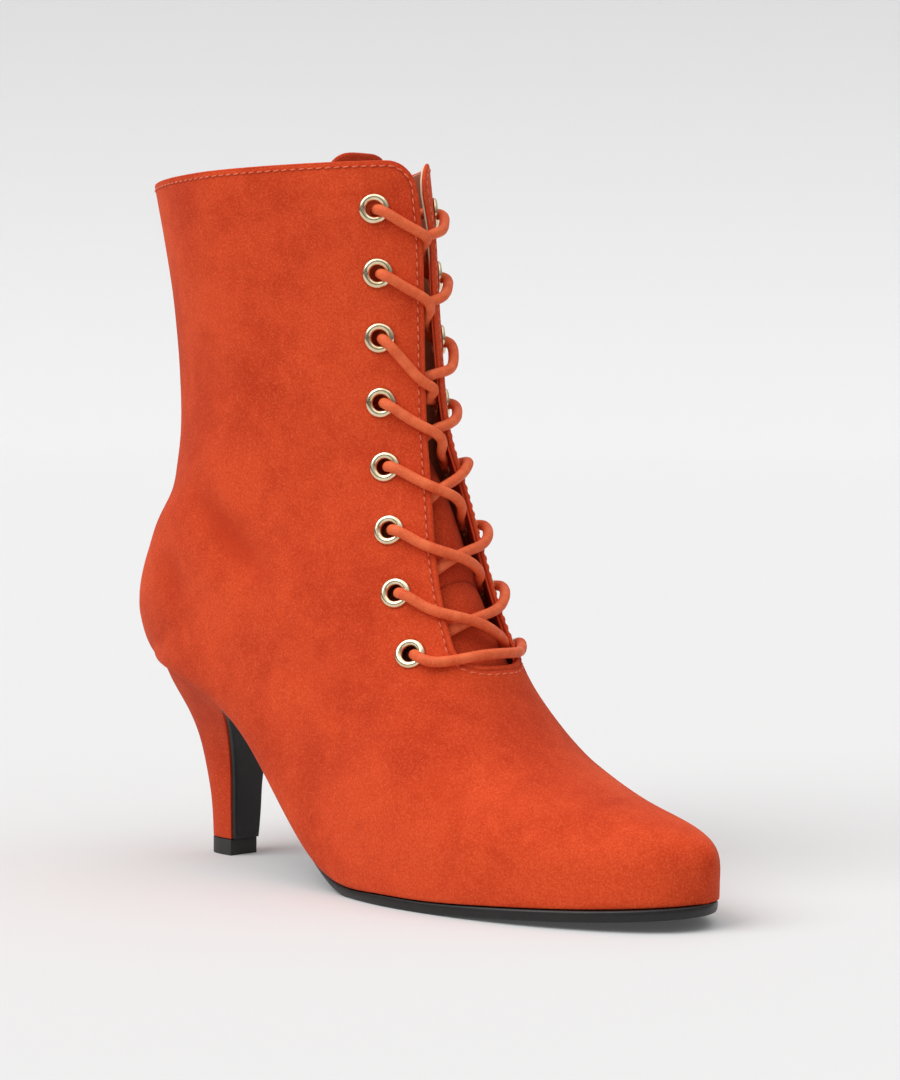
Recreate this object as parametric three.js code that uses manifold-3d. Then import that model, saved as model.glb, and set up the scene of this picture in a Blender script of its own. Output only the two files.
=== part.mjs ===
// Lace up ankle boot in suede on a curved covered heel, made for the right foot.
// Millimetres, +Z up, +X to the toe, +Y to the inner side of the foot.
// While the boot is worked out, x = 0 is the back of the heel seat and z = 0 the floor.
// At the end it is moved so that the middle of its footprint is the origin.

import * as THREE from 'three';
import { mergeVertices } from 'three/addons/utils/BufferGeometryUtils.js';
import Module from 'manifold-3d';

const wasm = await Module();
wasm.setup();

// Driving sizes of the last and shaft
const LENGTH = 238;
const BALL_WIDTH = 76;
const SEAT_HEIGHT = 65;
const COLLAR_HEIGHT = 231;
const COLLAR_DROP = 5.5;
const TOE_SWING = 2;
const TOE_SWING_FROM = 0.63;

// Walls, sheets and the gap between neighbours
const WALL = 2;
const TONGUE_SHEET = 2.2;
const INSOLE_SHEET = 2;
const INSOLE_INSET = 1.6;
const TONGUE_PLAY = 0.62;
const ARCH_PLAY = 0.15;
const CLEARANCE = 0.3;

// Throat and collar: the half gap between the facings at the throat's foot, and the radius of
// the collar's front corners, which start at a station of the shaft
const THROAT_HALF_GAP = 14;
const COLLAR_CORNER = 9;
const CORNER_FROM = 1.7;

// The feather edge round the seat draws in only the lowest part of the wall, from this station
const EDGE_TUCK = 1.5;
const EDGE_TUCK_FROM = 0.8;

// Sole, heel and top piece
const SOLE_THICKNESS = 3.5;
const SOLE_EDGE = 0.8;
const SOLE_BEVEL = 0.5;
const WAIST_THICKNESS = 2.2;
const WAIST_EDGE = 0.4;
const FLAP_THICKNESS = 1.6;
const TOP_PIECE_HEIGHT = 5.5;
const HEEL_TIP_LENGTH = 13.2;
const HEEL_TIP_WIDTH = 11.6;
const HEEL_TIP_BREAST = 33.7;
const BREAST_TOP = 49;
const TIP_STRAIGHT = 0.25;
const TIP_STRAIGHT_SHARE = 1 / 6;
const TIP_SQUARENESS = 0.8;
const FLARE_FORWARD = 0.7;
const FLAP_INSET = 0.4;
const FLAP_RISES = [0.9, 0.8, 0.68, 0.54, 0.36, 0.18, 0.02];

// The sole goes over from forepart to waist between these shares of LENGTH from the toe
const WAIST_FROM = 0.46;
const WAIST_UNTIL = 0.62;

// Eyelets
const EYELET_ROWS = 8;
const EYELET_PITCH = 20.5;
const EYELET_BELOW_COLLAR = 15;
const EYELET_SETBACK = 14.3;
const EYELET_FLANGE = 10.3;
const EYELET_BORE = 5;
const EYELET_TUBE_WALL = 0.5;
const EYELET_RISE = 1.1;
const EYELET_SEAT = 0.4;
const EYELET_BEVEL = 0.8;

// Tongue and lace
const TONGUE_HALF_WIDTH = 25;
const TONGUE_LEAN = 20;
const TONGUE_SINK = 1.8;
const TONGUE_CROWN = 2.2;
const TONGUE_RISE = 4;
const TONGUE_ROUNDING = 8.3;
const LACE_DIAMETER = 3.4;
const LACE_END_GAP = 1.5;
const LACE_PASS = 0.6;
const LACE_OVER = 0.6;
const LACE_UNDER = 1.1;
const LACE_DIP = 0.5;
const BAR_LIFT = 0.2;
const BAR_SAG = 0.8;

// How finely the curves are cut, and how much rows and columns crowd at their start
const UPPER_COLUMNS = 12;
const COLUMN_CROWDING = 1.15;
const VAMP_ROWS = 10;
const VAMP_CROWDING = 1.2;
const ROUNDING_ROWS = 5;
const ANKLE_ROWS = 11;
const SHAFT_ROWS = 11;
const SHAFT_CROWDING = 1.3;
const SOLE_ROWS = 36;
const HEEL_COLUMNS = 10;
const HEEL_RISES = [0, 0.12, 0.25, 0.38, 0.5, 0.6, 0.7, 0.79, 0.87, 0.94, 1];
const TONGUE_ROWS = 16;
const TONGUE_COLUMNS = 8;
const ROUND_SIDES = 12;
const LACE_SIDES = 8;
const LACE_STEPS = 6;

const HALF_BALL = BALL_WIDTH / 2;
const MM_PER_SHAFT_STATION = (COLLAR_HEIGHT - SEAT_HEIGHT) / 2;
const TOUCHING = 1e-6;
const MERGED = 1e-4;
const ON_MIDDLE = 0.01;

// Sections of the last, fanned from toe to collar. Station 0 is the toe, 1 the back of the
// heel seat, 2 the collar. forward is a share of LENGTH and up of COLLAR_HEIGHT, both of the
// section's front end; outer and inner are half widths as shares of HALF_BALL; widest says how
// far down the section they lie; crown and keel are the roundness above and below them.
const SECTIONS = [
  // station, forward, up, outer, inner, widest, crown, keel
  [0.000, 1.012, 0.093, 0.000, 0.000, 0.56, 2.18, 3.5],
  [0.125, 0.953, 0.131, 0.448, 0.431, 0.61, 2.17, 3.5],
  [0.250, 0.830, 0.163, 0.805, 0.793, 0.66, 2.07, 3.5],
  [0.375, 0.714, 0.227, 1.044, 1.004, 0.70, 2.00, 3.5],
  [0.500, 0.637, 0.334, 1.004, 0.945, 0.71, 1.94, 3.2],
  [0.625, 0.596, 0.433, 0.889, 0.909, 0.68, 1.92, 3.0],
  [0.750, 0.572, 0.514, 0.860, 0.903, 0.62, 1.88, 2.8],
  [0.875, 0.554, 0.572, 0.847, 0.888, 0.58, 1.85, 2.6],
  [1.000, 0.538, 0.617, 0.856, 0.875, 0.56, 1.82, 2.5],
  [1.250, 0.522, 0.709, 0.836, 0.836, 0.51, 1.76, 2.1],
  [1.500, 0.514, 0.803, 0.832, 0.827, 0.50, 1.65, 1.95],
  [1.750, 0.508, 0.900, 0.921, 0.902, 0.52, 1.55, 1.95],
  [2.000, 0.494, 1.000, 1.014, 0.985, 0.53, 1.50, 2.1],
];

// Edge of the last's underside. along is a share of LENGTH from the back of the seat, outer and
// inner are shares of HALF_BALL, lift is a share of SEAT_HEIGHT.
const FEATHER_EDGE = [
  // along, outer, inner, lift
  [1.000, 0.000, 0.000, 0.125],
  [0.965, 0.408, 0.405, 0.114],
  [0.870, 0.750, 0.760, 0.092],
  [0.760, 0.947, 0.971, 0.073],
  [0.660, 1.013, 0.960, 0.059],
  [0.580, 1.000, 0.816, 0.056],
  [0.510, 0.913, 0.671, 0.056],
  [0.440, 0.795, 0.566, 0.132],
  [0.360, 0.700, 0.539, 0.371],
  [0.270, 0.645, 0.579, 0.694],
  [0.170, 0.642, 0.645, 0.900],
  [0.070, 0.510, 0.513, 1.000],
  [0.015, 0.247, 0.250, 1.003],
  [0.000, 0.000, 0.000, 0.978],
];

// Back seam. rise is a share of the height from seat to collar, forward a share of LENGTH.
const BACK_LINE = [
  // rise, forward
  [0.00, 0.000],
  [0.07, -0.025],
  [0.16, -0.031],
  [0.26, -0.006],
  [0.40, 0.036],
  [0.60, 0.047],
  [0.80, 0.040],
  [1.00, 0.019],
];

// Half gap between the facings, as shares of THROAT_HALF_GAP.
const THROAT = [
  // station, half gap
  [0.475, 1.02],
  [0.625, 0.82],
  [0.750, 0.64],
  [0.875, 0.49],
  [1.000, 0.37],
  [1.250, 0.25],
  [1.500, 0.18],
  [1.750, 0.155],
  [2.000, 0.13],
];
const THROAT_FOOT = THROAT[0][0];
const THROAT_ROUNDING = 0.055;
const THROAT_ROUNDNESS = 2.2;

// Heel block. rise is a share of the height from top piece to seat; back and front say how
// much of the way from the small foot to the wide seat each section has opened.
const HEEL_FLARE = [
  // rise, back, front
  [0.00, 0.00, 0.00],
  [0.22, 0.05, 0.035],
  [0.40, 0.18, 0.055],
  [0.57, 0.34, 0.13],
  [0.74, 0.61, 0.33],
  [0.90, 0.92, 0.66],
  [1.00, 1.00, 1.00],
];

// Tongue. half width is a share of TONGUE_HALF_WIDTH, lean of TONGUE_LEAN, and sink, how much
// deeper than at its stitched foot it lies under the facings, of TONGUE_SINK.
const TONGUE = [
  // station, half width, lean, sink
  [0.42, 0.80, 0.00, 0.00],
  [0.60, 0.96, 0.00, 0.85],
  [0.80, 0.94, 0.08, 1.00],
  [1.00, 0.90, 0.28, 1.00],
  [1.35, 0.84, 0.64, 1.00],
  [1.70, 0.80, 0.88, 1.00],
  [2.10, 0.76, 1.00, 1.00],
];

const MATERIALS = {
  suede: new THREE.MeshStandardMaterial({ color: 0xcf482a, roughness: 0.95, metalness: 0 }),
  lining: new THREE.MeshStandardMaterial({ color: 0xb98a63, roughness: 0.8, metalness: 0 }),
  sole: new THREE.MeshStandardMaterial({ color: 0x1c1a1b, roughness: 0.5, metalness: 0 }),
  metal: new THREE.MeshStandardMaterial({ color: 0xd9c08a, roughness: 0.3, metalness: 1 }),
  lace: new THREE.MeshStandardMaterial({ color: 0xe86a42, roughness: 0.6, metalness: 0 }),
};

// Natural cubic through a table's column, or one that starts or ends level.
function curveThrough(knots, values, levelStart = false, levelEnd = false) {
  const last = knots.length - 1;
  const sub = new Array(last + 1).fill(0);
  const main = new Array(last + 1).fill(1);
  const sup = new Array(last + 1).fill(0);
  const bend = new Array(last + 1).fill(0);
  const step = (i) => knots[i + 1] - knots[i];
  const slope = (i) => (values[i + 1] - values[i]) / step(i);
  for (let i = 1; i < last; i += 1) {
    sub[i] = step(i - 1);
    main[i] = 2 * (step(i - 1) + step(i));
    sup[i] = step(i);
    bend[i] = 6 * (slope(i) - slope(i - 1));
  }
  if (levelStart) {
    main[0] = 2 * step(0);
    sup[0] = step(0);
    bend[0] = 6 * slope(0);
  }
  if (levelEnd) {
    sub[last] = step(last - 1);
    main[last] = 2 * step(last - 1);
    bend[last] = -6 * slope(last - 1);
  }
  for (let i = 1; i <= last; i += 1) {
    const factor = sub[i] / main[i - 1];
    main[i] -= factor * sup[i - 1];
    bend[i] -= factor * bend[i - 1];
  }
  bend[last] /= main[last];
  for (let i = last - 1; i >= 0; i -= 1) {
    bend[i] = (bend[i] - sup[i] * bend[i + 1]) / main[i];
  }
  return (at) => {
    let i = 0;
    while (i < last - 1 && at > knots[i + 1]) i += 1;
    const h = step(i);
    const right = (at - knots[i]) / h;
    const left = 1 - right;
    const curved = (left ** 3 - left) * bend[i] + (right ** 3 - right) * bend[i + 1];
    return left * values[i] + right * values[i + 1] + (curved * h * h) / 6;
  };
}

const column = (table, index) => table.map((row) => row[index]);
const clamp01 = (value) => Math.min(1, Math.max(0, value));

function sectionColumn(index, levelStart = false) {
  return curveThrough(column(SECTIONS, 0), column(SECTIONS, index), levelStart);
}
const sectionForward = sectionColumn(1, true);
const sectionUp = sectionColumn(2);
const sectionOuter = sectionColumn(3);
const sectionInner = sectionColumn(4);
const sectionWidest = sectionColumn(5);
const sectionCrown = sectionColumn(6);
const sectionKeel = sectionColumn(7);

// A station of the foot stands for a place along the sole: rows crowd at toe and heel.
const alongOf = (station) => (1 + Math.cos(Math.PI * station)) / 2;
const stationOf = (along) => Math.acos(2 * clamp01(along) - 1) / Math.PI;
const edgeStations = column(FEATHER_EDGE, 0).map(stationOf);
const edgeOuter = curveThrough(edgeStations, column(FEATHER_EDGE, 1));
const edgeInner = curveThrough(edgeStations, column(FEATHER_EDGE, 2));
const edgeLift = curveThrough(edgeStations, column(FEATHER_EDGE, 3), true, true);
const backForward = curveThrough(column(BACK_LINE, 0), column(BACK_LINE, 1));
const throatShare = curveThrough(column(THROAT, 0), column(THROAT, 1));

// Half gap between the facings: zero on the vamp, then a wide U that narrows to the collar.
function halfGap(station) {
  if (station <= THROAT_FOOT) return 0;
  const into = clamp01((station - THROAT_FOOT) / THROAT_ROUNDING);
  const opened = (1 - (1 - into) ** THROAT_ROUNDNESS) ** (1 / THROAT_ROUNDNESS);
  return THROAT_HALF_GAP * throatShare(station) * opened;
}

const dorsal = (station) => new THREE.Vector3(
  LENGTH * sectionForward(station), 0, COLLAR_HEIGHT * sectionUp(station));

// The other end of a section: the middle of the sole, and on the shaft the back seam.
function plantar(station) {
  if (station <= 1) {
    return new THREE.Vector3(LENGTH * alongOf(station), 0, SEAT_HEIGHT * edgeLift(station));
  }
  const rise = station - 1;
  const seat = SEAT_HEIGHT * edgeLift(1);
  const height = seat + (COLLAR_HEIGHT - COLLAR_DROP - seat) * rise;
  return new THREE.Vector3(LENGTH * backForward(rise), 0, height);
}

const edgeHalf = (station, side) => (
  station >= 1 ? 0 : HALF_BALL * Math.max(0, (side < 0 ? edgeOuter : edgeInner)(station)));

// The toe swings a little to the inner side, as feet do.
function swing(x) {
  const startAt = TOE_SWING_FROM * LENGTH;
  return TOE_SWING * clamp01((x - startAt) / (LENGTH - startAt)) ** 2;
}

const edgeTuck = (station) => (
  1 + EDGE_TUCK * THREE.MathUtils.smoothstep(station, EDGE_TUCK_FROM, 1));

// A point of a section: down is its share of the way from dorsal to plantar end, out its
// half width there. The section is a superellipse quarter above the widest place, and one
// below it that ends at the feather edge.
function sectionPoint(station, side, turn, crown) {
  const edge = edgeHalf(station, side);
  const wide = HALF_BALL * (side < 0 ? sectionOuter : sectionInner)(station);
  const half = Math.max(wide, edge, TOUCHING);
  const widest = sectionWidest(station);
  const angle = Math.abs(turn) * Math.PI / 2;
  let down;
  let out;
  if (turn <= 1) {
    down = widest * (1 - Math.cos(angle) ** (2 / crown));
    out = half * Math.sin(angle) ** (2 / crown);
  } else {
    const keel = sectionKeel(station);
    const below = Math.min(angle - Math.PI / 2, Math.PI / 2);
    down = widest + (1 - widest) * Math.sin(below) ** (2 / keel);
    const narrowing = Math.max(Math.cos(below), 0) ** (2 / keel);
    out = half * narrowing + edge * (1 - narrowing) ** edgeTuck(station);
  }
  const point = dorsal(station).lerp(plantar(station), down);
  point.y = side * out + swing(point.x);
  return point;
}

// The turn at which a section is a given half width wide, above its widest place.
function turnAt(station, side, out) {
  const half = Math.max(HALF_BALL * (side < 0 ? sectionOuter : sectionInner)(station), TOUCHING);
  return Math.asin(clamp01(out / half) ** (sectionCrown(station) / 2)) / (Math.PI / 2);
}

// Outside of the upper: across runs from the facing's edge, or the middle of the vamp, at 0
// to the feather edge or back seam at 1.
function skin(station, across, side) {
  const start = turnAt(station, side, halfGap(station));
  const turn = across < 0.5 ? start + (1 - start) * across * 2 : across * 2;
  return sectionPoint(station, side, turn, sectionCrown(station));
}

// A point of the same outside at a distance round it from the dorsal middle line, to the
// outer side where that distance is negative.
function around(station, reach, crown = sectionCrown(station)) {
  const side = reach < 0 ? -1 : 1;
  const steps = 48;
  let before = sectionPoint(station, side, 0, crown);
  let walked = 0;
  for (let i = 1; i <= steps; i += 1) {
    const next = sectionPoint(station, side, i / steps, crown);
    const piece = next.distanceTo(before);
    if (walked + piece >= Math.abs(reach)) {
      return before.lerp(next, (Math.abs(reach) - walked) / piece);
    }
    walked += piece;
    before = next;
  }
  return before;
}

// Distance round the outside from the dorsal middle line to the facing's edge.
function facingReach(station, side) {
  const steps = 24;
  const end = turnAt(station, side, halfGap(station));
  let before = sectionPoint(station, side, 0, sectionCrown(station));
  let walked = 0;
  for (let i = 1; i <= steps; i += 1) {
    const next = sectionPoint(station, side, (end * i) / steps, sectionCrown(station));
    walked += next.distanceTo(before);
    before = next;
  }
  return walked;
}

// Direction straight out of the outside at such a point.
function outward(station, reach, crown) {
  const small = 0.01;
  const wide = 0.6;
  const up = around(station + small, reach, crown).sub(around(station - small, reach, crown));
  const over = around(station, reach + wide, crown).sub(around(station, reach - wide, crown));
  return over.cross(up).normalize();
}

const lifted = (station, reach, lift, crown) => (
  around(station, reach, crown).addScaledVector(outward(station, reach, crown), lift));

// Turns an open sheet into a closed wall: the sheet, its copy one thickness further in, and
// strips along every border. Normals come from the sheet's own faces.
function thicken(points, faces, thickness, adjust) {
  const sheet = new THREE.BufferGeometry();
  const flat = points.flatMap((p) => p.toArray());
  sheet.setAttribute('position', new THREE.Float32BufferAttribute(flat, 3));
  sheet.setIndex(faces.flat());
  const joined = mergeVertices(sheet, MERGED);
  joined.computeVertexNormals();
  const outside = joined.getAttribute('position');
  const normals = joined.getAttribute('normal');
  const count = outside.count;
  const index = joined.getIndex().array;
  const vertices = [];
  const inner = [];
  for (let i = 0; i < count; i += 1) {
    const at = new THREE.Vector3().fromBufferAttribute(outside, i);
    const normal = new THREE.Vector3().fromBufferAttribute(normals, i);
    if (adjust) adjust(at, normal);
    vertices.push(...at.toArray());
    inner.push(...at.addScaledVector(normal, -thickness).toArray());
  }
  vertices.push(...inner);
  const triangles = [];
  const edges = new Map();
  for (let i = 0; i < index.length; i += 3) {
    const corner = [index[i], index[i + 1], index[i + 2]];
    if (new Set(corner).size < 3) continue;
    triangles.push(...corner);
    triangles.push(corner[2] + count, corner[1] + count, corner[0] + count);
    corner.forEach((from, k) => {
      const to = corner[(k + 1) % 3];
      edges.set(`${from},${to}`, [from, to]);
    });
  }
  edges.forEach(([from, to]) => {
    if (edges.has(`${to},${from}`)) return;
    triangles.push(from, from + count, to + count);
    triangles.push(from, to + count, to);
  });
  return geometryOf(vertices, triangles);
}

function geometryOf(vertices, triangles) {
  const geometry = new THREE.BufferGeometry();
  geometry.setAttribute('position', new THREE.Float32BufferAttribute(vertices, 3));
  geometry.setIndex(triangles);
  return geometry;
}

// Faces of a grid of points given row by row. turned flips them.
function gridFaces(rows, columns, start, turned) {
  const faces = [];
  for (let i = 0; i < rows - 1; i += 1) {
    for (let j = 0; j < columns - 1; j += 1) {
      const a = start + i * columns + j;
      const b = a + 1;
      const c = a + columns;
      const d = c + 1;
      faces.push(...(turned ? [[a, b, c], [b, d, c]] : [[a, c, b], [b, c, d]]));
    }
  }
  return faces;
}

function solidOf(geometry) {
  const bare = geometry.clone();
  bare.deleteAttribute('normal');
  bare.deleteAttribute('uv');
  const joined = mergeVertices(bare, MERGED);
  return new wasm.Manifold(new wasm.Mesh({
    numProp: 3,
    vertProperties: new Float32Array(joined.getAttribute('position').array),
    triVerts: new Uint32Array(joined.getIndex().array),
  }));
}

function geometryFrom(solid) {
  const mesh = solid.getMesh();
  return geometryOf(Array.from(mesh.vertProperties), Array.from(mesh.triVerts));
}

const boot = new THREE.Group();

function add(name, geometry, material) {
  const mesh = new THREE.Mesh(geometry, material);
  mesh.name = name;
  boot.add(mesh);
  return mesh;
}

// Stations of the upper's rows, crowded at the toe, where the throat rounds and at the heel.
function stations() {
  const list = [];
  for (let i = 0; i < VAMP_ROWS; i += 1) {
    list.push(THROAT_FOOT * (i / VAMP_ROWS) ** VAMP_CROWDING);
  }
  for (let i = 0; i < ROUNDING_ROWS; i += 1) {
    list.push(THROAT_FOOT + THROAT_ROUNDING * (1 - Math.cos((i / ROUNDING_ROWS) * Math.PI / 2)));
  }
  const ankleFrom = THROAT_FOOT + THROAT_ROUNDING;
  for (let i = 0; i < ANKLE_ROWS; i += 1) {
    list.push(ankleFrom + ((1 - ankleFrom) * i) / ANKLE_ROWS);
  }
  for (let i = 0; i <= SHAFT_ROWS; i += 1) {
    list.push(1 + (i / SHAFT_ROWS) ** SHAFT_CROWDING);
  }
  return list;
}

// The collar's front corners are round: near the facing's edge the rows end lower.
function rounded(station, reach) {
  const inset = clamp01(1 - reach / COLLAR_CORNER);
  const drop = (COLLAR_CORNER / MM_PER_SHAFT_STATION) * (1 - Math.sqrt(1 - inset ** 2));
  const share = clamp01((station - CORNER_FROM) / (2 - CORNER_FROM));
  return station - drop * share;
}

// Upper: one wall from toe to collar, open at the collar, down the throat and underneath. On
// the middle line, and along the forepart's low rim, it gets its thickness square to the last.
const FOREPART_FROM = 0.4;
const FOREPART_RIM = 0.2;
function upperGeometry() {
  const rows = stations();
  const points = [];
  const faces = [];
  [-1, 1].forEach((side) => {
    const start = points.length;
    rows.forEach((station) => {
      for (let j = 0; j <= UPPER_COLUMNS; j += 1) {
        const across = (j / UPPER_COLUMNS) ** COLUMN_CROWDING;
        const flat = skin(station, across, side);
        const reach = flat.distanceTo(skin(station, 0, side));
        points.push(skin(rounded(station, reach), across, side));
      }
    });
    faces.push(...gridFaces(rows.length, UPPER_COLUMNS + 1, start, side > 0));
  });
  const squareUp = (at, normal) => {
    const onMiddle = Math.abs(at.y - swing(at.x)) < ON_MIDDLE;
    if (onMiddle) normal.setY(0).normalize();
    const onForepartRim = at.x > FOREPART_FROM * LENGTH && at.z < FOREPART_RIM * SEAT_HEIGHT;
    if (onForepartRim) normal.setZ(0).normalize();
  };
  return thicken(points, faces, WALL, squareUp);
}

// Stations of the eyelet rows, found by walking down the shaft from the collar.
function eyeletStations() {
  const reach = (station) => facingReach(station, -1) + EYELET_SETBACK;
  const small = 0.004;
  const found = [];
  let station = 2;
  let walked = 0;
  let before = around(station, -reach(station));
  while (found.length < EYELET_ROWS && station > THROAT_FOOT) {
    station -= small;
    const next = around(station, -reach(station));
    walked += next.distanceTo(before);
    before = next;
    if (walked >= EYELET_BELOW_COLLAR + EYELET_PITCH * found.length) found.push(station);
  }
  return found;
}
const EYELET_STATIONS = eyeletStations();
const tubeRadius = EYELET_BORE / 2 + EYELET_TUBE_WALL;

function eyeletPlace(row, side) {
  const station = EYELET_STATIONS[row];
  const reach = side * (facingReach(station, side) + EYELET_SETBACK);
  return { at: around(station, reach), axis: outward(station, reach) };
}

// Eyelet: a rolled flange on the outside and a tube through the wall.
function eyeletGeometry() {
  const bore = EYELET_BORE / 2;
  const rim = EYELET_FLANGE / 2;
  const top = EYELET_SEAT + EYELET_RISE;
  const profile = [
    [bore, -WALL + CLEARANCE],
    [tubeRadius, -WALL + CLEARANCE],
    [tubeRadius, EYELET_SEAT],
    [rim, EYELET_SEAT],
    [rim - EYELET_BEVEL, top],
    [bore, top],
    [bore, -WALL + CLEARANCE],
  ].map(([radius, height]) => new THREE.Vector2(radius, height));
  return new THREE.LatheGeometry(profile, ROUND_SIDES);
}

function eyeletHole(row, side) {
  const { at, axis } = eyeletPlace(row, side);
  const radius = tubeRadius + CLEARANCE;
  const depth = 2 * (WALL + EYELET_FLANGE / 2);
  const hole = new THREE.CylinderGeometry(radius, radius, depth, ROUND_SIDES);
  hole.applyQuaternion(new THREE.Quaternion().setFromUnitVectors(new THREE.Vector3(0, 1, 0), axis));
  hole.translate(at.x, at.y, at.z);
  return solidOf(hole);
}

// Closed plate from rows of four points: the outer and inner edge of its upper face, then of
// its lower face. Rows that shrink to nothing at the ends are joined up.
function plateGeometry(rows) {
  const vertices = rows.flat().flatMap((p) => p.toArray());
  const triangles = [];
  const quad = (a, b, c, d) => triangles.push(a, b, c, a, c, d);
  for (let i = 0; i < rows.length - 1; i += 1) {
    const here = i * 4;
    const next = here + 4;
    quad(here, here + 1, next + 1, next);
    quad(here + 2, next + 2, next + 3, here + 3);
    quad(here, next, next + 2, here + 2);
    quad(here + 1, here + 3, next + 3, next + 1);
  }
  const end = (rows.length - 1) * 4;
  quad(0, 2, 3, 1);
  quad(end, end + 1, end + 3, end + 2);
  const geometry = mergeVertices(geometryOf(vertices, triangles), MERGED);
  const index = geometry.getIndex().array;
  const kept = [];
  for (let i = 0; i < index.length; i += 3) {
    const corner = [index[i], index[i + 1], index[i + 2]];
    if (new Set(corner).size === 3) kept.push(...corner);
  }
  geometry.setIndex(kept);
  return geometry;
}

// How far the sole has gone over from forepart to waist at a place along the foot, 0 to 1.
const waistShare = (x) => THREE.MathUtils.smoothstep(1 - x / LENGTH, WAIST_FROM, WAIST_UNTIL);

// Height of the last's underside at a place along the foot, and of the sole's and the heel's
// upper face under it, with the clearance measured square to the slope.
const lastBottom = (x) => SEAT_HEIGHT * edgeLift(stationOf(x / LENGTH));
const slopeAt = (x) => (lastBottom(x + 1) - lastBottom(x - 1)) / 2;
const soleTop = (x) => (
  lastBottom(x) - (CLEARANCE + ARCH_PLAY * waistShare(x)) * Math.hypot(1, slopeAt(x)));

// Point of the feather edge's outline moved out by a distance, square to the outline.
function outlinePoint(station, side, out) {
  const small = 0.004;
  const place = (s) => new THREE.Vector2(LENGTH * alongOf(s), side * edgeHalf(s, side));
  const before = Math.max(station - small, 0);
  const after = Math.min(station + small, 1);
  const run = place(after).sub(place(before));
  const square = new THREE.Vector2(run.y, -run.x).normalize().multiplyScalar(side < 0 ? -1 : 1);
  if (station <= 0) square.set(1, 0);
  if (station >= 1) square.set(-1, 0);
  return place(station).addScaledVector(square, out);
}

// Heel: each column of its side runs from the top piece to the feather edge.
const breastStation = stationOf(BREAST_TOP / LENGTH);
const heelFoot = TOP_PIECE_HEIGHT + CLEARANCE;
const flareBack = curveThrough(column(HEEL_FLARE, 0), column(HEEL_FLARE, 1));
const flareFront = curveThrough(column(HEEL_FLARE, 0), column(HEEL_FLARE, 2));

// Small D of the heel's foot: straight sides behind the breast, then a round back.
function footOutline(share, side) {
  const straight = HEEL_TIP_LENGTH * TIP_STRAIGHT;
  const half = HEEL_TIP_WIDTH / 2;
  const turn = share * Math.PI / 2;
  const back = (HEEL_TIP_LENGTH - straight) * Math.sin(turn);
  const x = HEEL_TIP_BREAST - straight * Math.min(1, share / TIP_STRAIGHT_SHARE) - back;
  return new THREE.Vector2(x, side * half * Math.cos(turn) ** TIP_SQUARENESS);
}

// share runs from the breast at 0 to the middle of the back at 1.
function heelPoint(share, side, rise) {
  const station = breastStation + (1 - breastStation) * share;
  const foot = footOutline(share, side);
  const seat = new THREE.Vector2(LENGTH * alongOf(station), side * edgeHalf(station, side));
  const toBack = share ** FLARE_FORWARD;
  const open = flareFront(rise) * (1 - toBack) + flareBack(rise) * toBack;
  const at = foot.lerp(seat, open);
  return new THREE.Vector3(at.x, at.y, heelFoot + (soleTop(seat.x) - heelFoot) * rise);
}

const heelShares = Array.from({ length: HEEL_COLUMNS + 1 }, (_, i) => i / HEEL_COLUMNS);

function heelGeometry() {
  const sides = [];
  heelShares.forEach((share) => sides.push([share, -1]));
  heelShares.slice(0, -1).reverse().forEach((share) => sides.push([share, 1]));
  const vertices = [];
  HEEL_RISES.forEach((rise) => sides.forEach(([share, side]) => {
    vertices.push(...heelPoint(share, side, rise).toArray());
  }));
  const ring = sides.length;
  const triangles = [];
  const quad = (a, b, c, d) => triangles.push(a, b, c, a, c, d);
  for (let i = 0; i < HEEL_RISES.length - 1; i += 1) {
    for (let j = 0; j < ring; j += 1) {
      const a = i * ring + j;
      const b = i * ring + ((j + 1) % ring);
      quad(a, a + ring, b + ring, b);
    }
  }
  const topRow = (HEEL_RISES.length - 1) * ring;
  for (let j = 0; j < HEEL_COLUMNS; j += 1) {
    const mirror = ring - 1 - j;
    const bottom = [j, j + 1, mirror - 1, mirror];
    const top = [topRow + j, topRow + mirror, topRow + mirror - 1, topRow + j + 1];
    if (j === HEEL_COLUMNS - 1) {
      triangles.push(bottom[0], bottom[1], bottom[3]);
      triangles.push(top[0], top[1], top[3]);
    } else {
      quad(...bottom);
      quad(...top);
    }
  }
  return geometryOf(vertices, triangles);
}

// Stations of the sole's rows from toe to heel breast.
const soleEnd = stationOf((BREAST_TOP + CLEARANCE) / LENGTH);
const soleStations = Array.from({ length: SOLE_ROWS + 1 }, (_, i) => (soleEnd * i) / SOLE_ROWS);

// Outsole: forepart and waist under the feather edge, then a flap down the heel's breast.
function outsoleGeometry() {
  const rows = soleStations.map((station) => {
    const waist = waistShare(LENGTH * alongOf(station));
    const out = THREE.MathUtils.lerp(SOLE_EDGE, WAIST_EDGE, waist);
    const thick = THREE.MathUtils.lerp(SOLE_THICKNESS, WAIST_THICKNESS, waist);
    const forward = station === soleEnd ? FLAP_THICKNESS : 0;
    const upper = [-1, 1].map((side) => {
      const at = outlinePoint(station, side, out);
      return new THREE.Vector3(at.x, at.y, soleTop(at.x));
    });
    const lower = [-1, 1].map((side) => {
      const at = outlinePoint(station, side, out - SOLE_BEVEL * (1 + waist));
      return new THREE.Vector3(at.x + forward, at.y, Math.max(0, soleTop(at.x) - thick));
    });
    return [...upper, ...lower];
  });
  FLAP_RISES.forEach((rise) => {
    const edge = heelPoint(0, 1, rise);
    const half = edge.y - FLAP_INSET;
    rows.push([CLEARANCE, CLEARANCE + FLAP_THICKNESS].flatMap((forward) => [-1, 1].map((side) => (
      new THREE.Vector3(edge.x + forward, side * half, edge.z)))));
  });
  return plateGeometry(rows);
}

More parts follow.
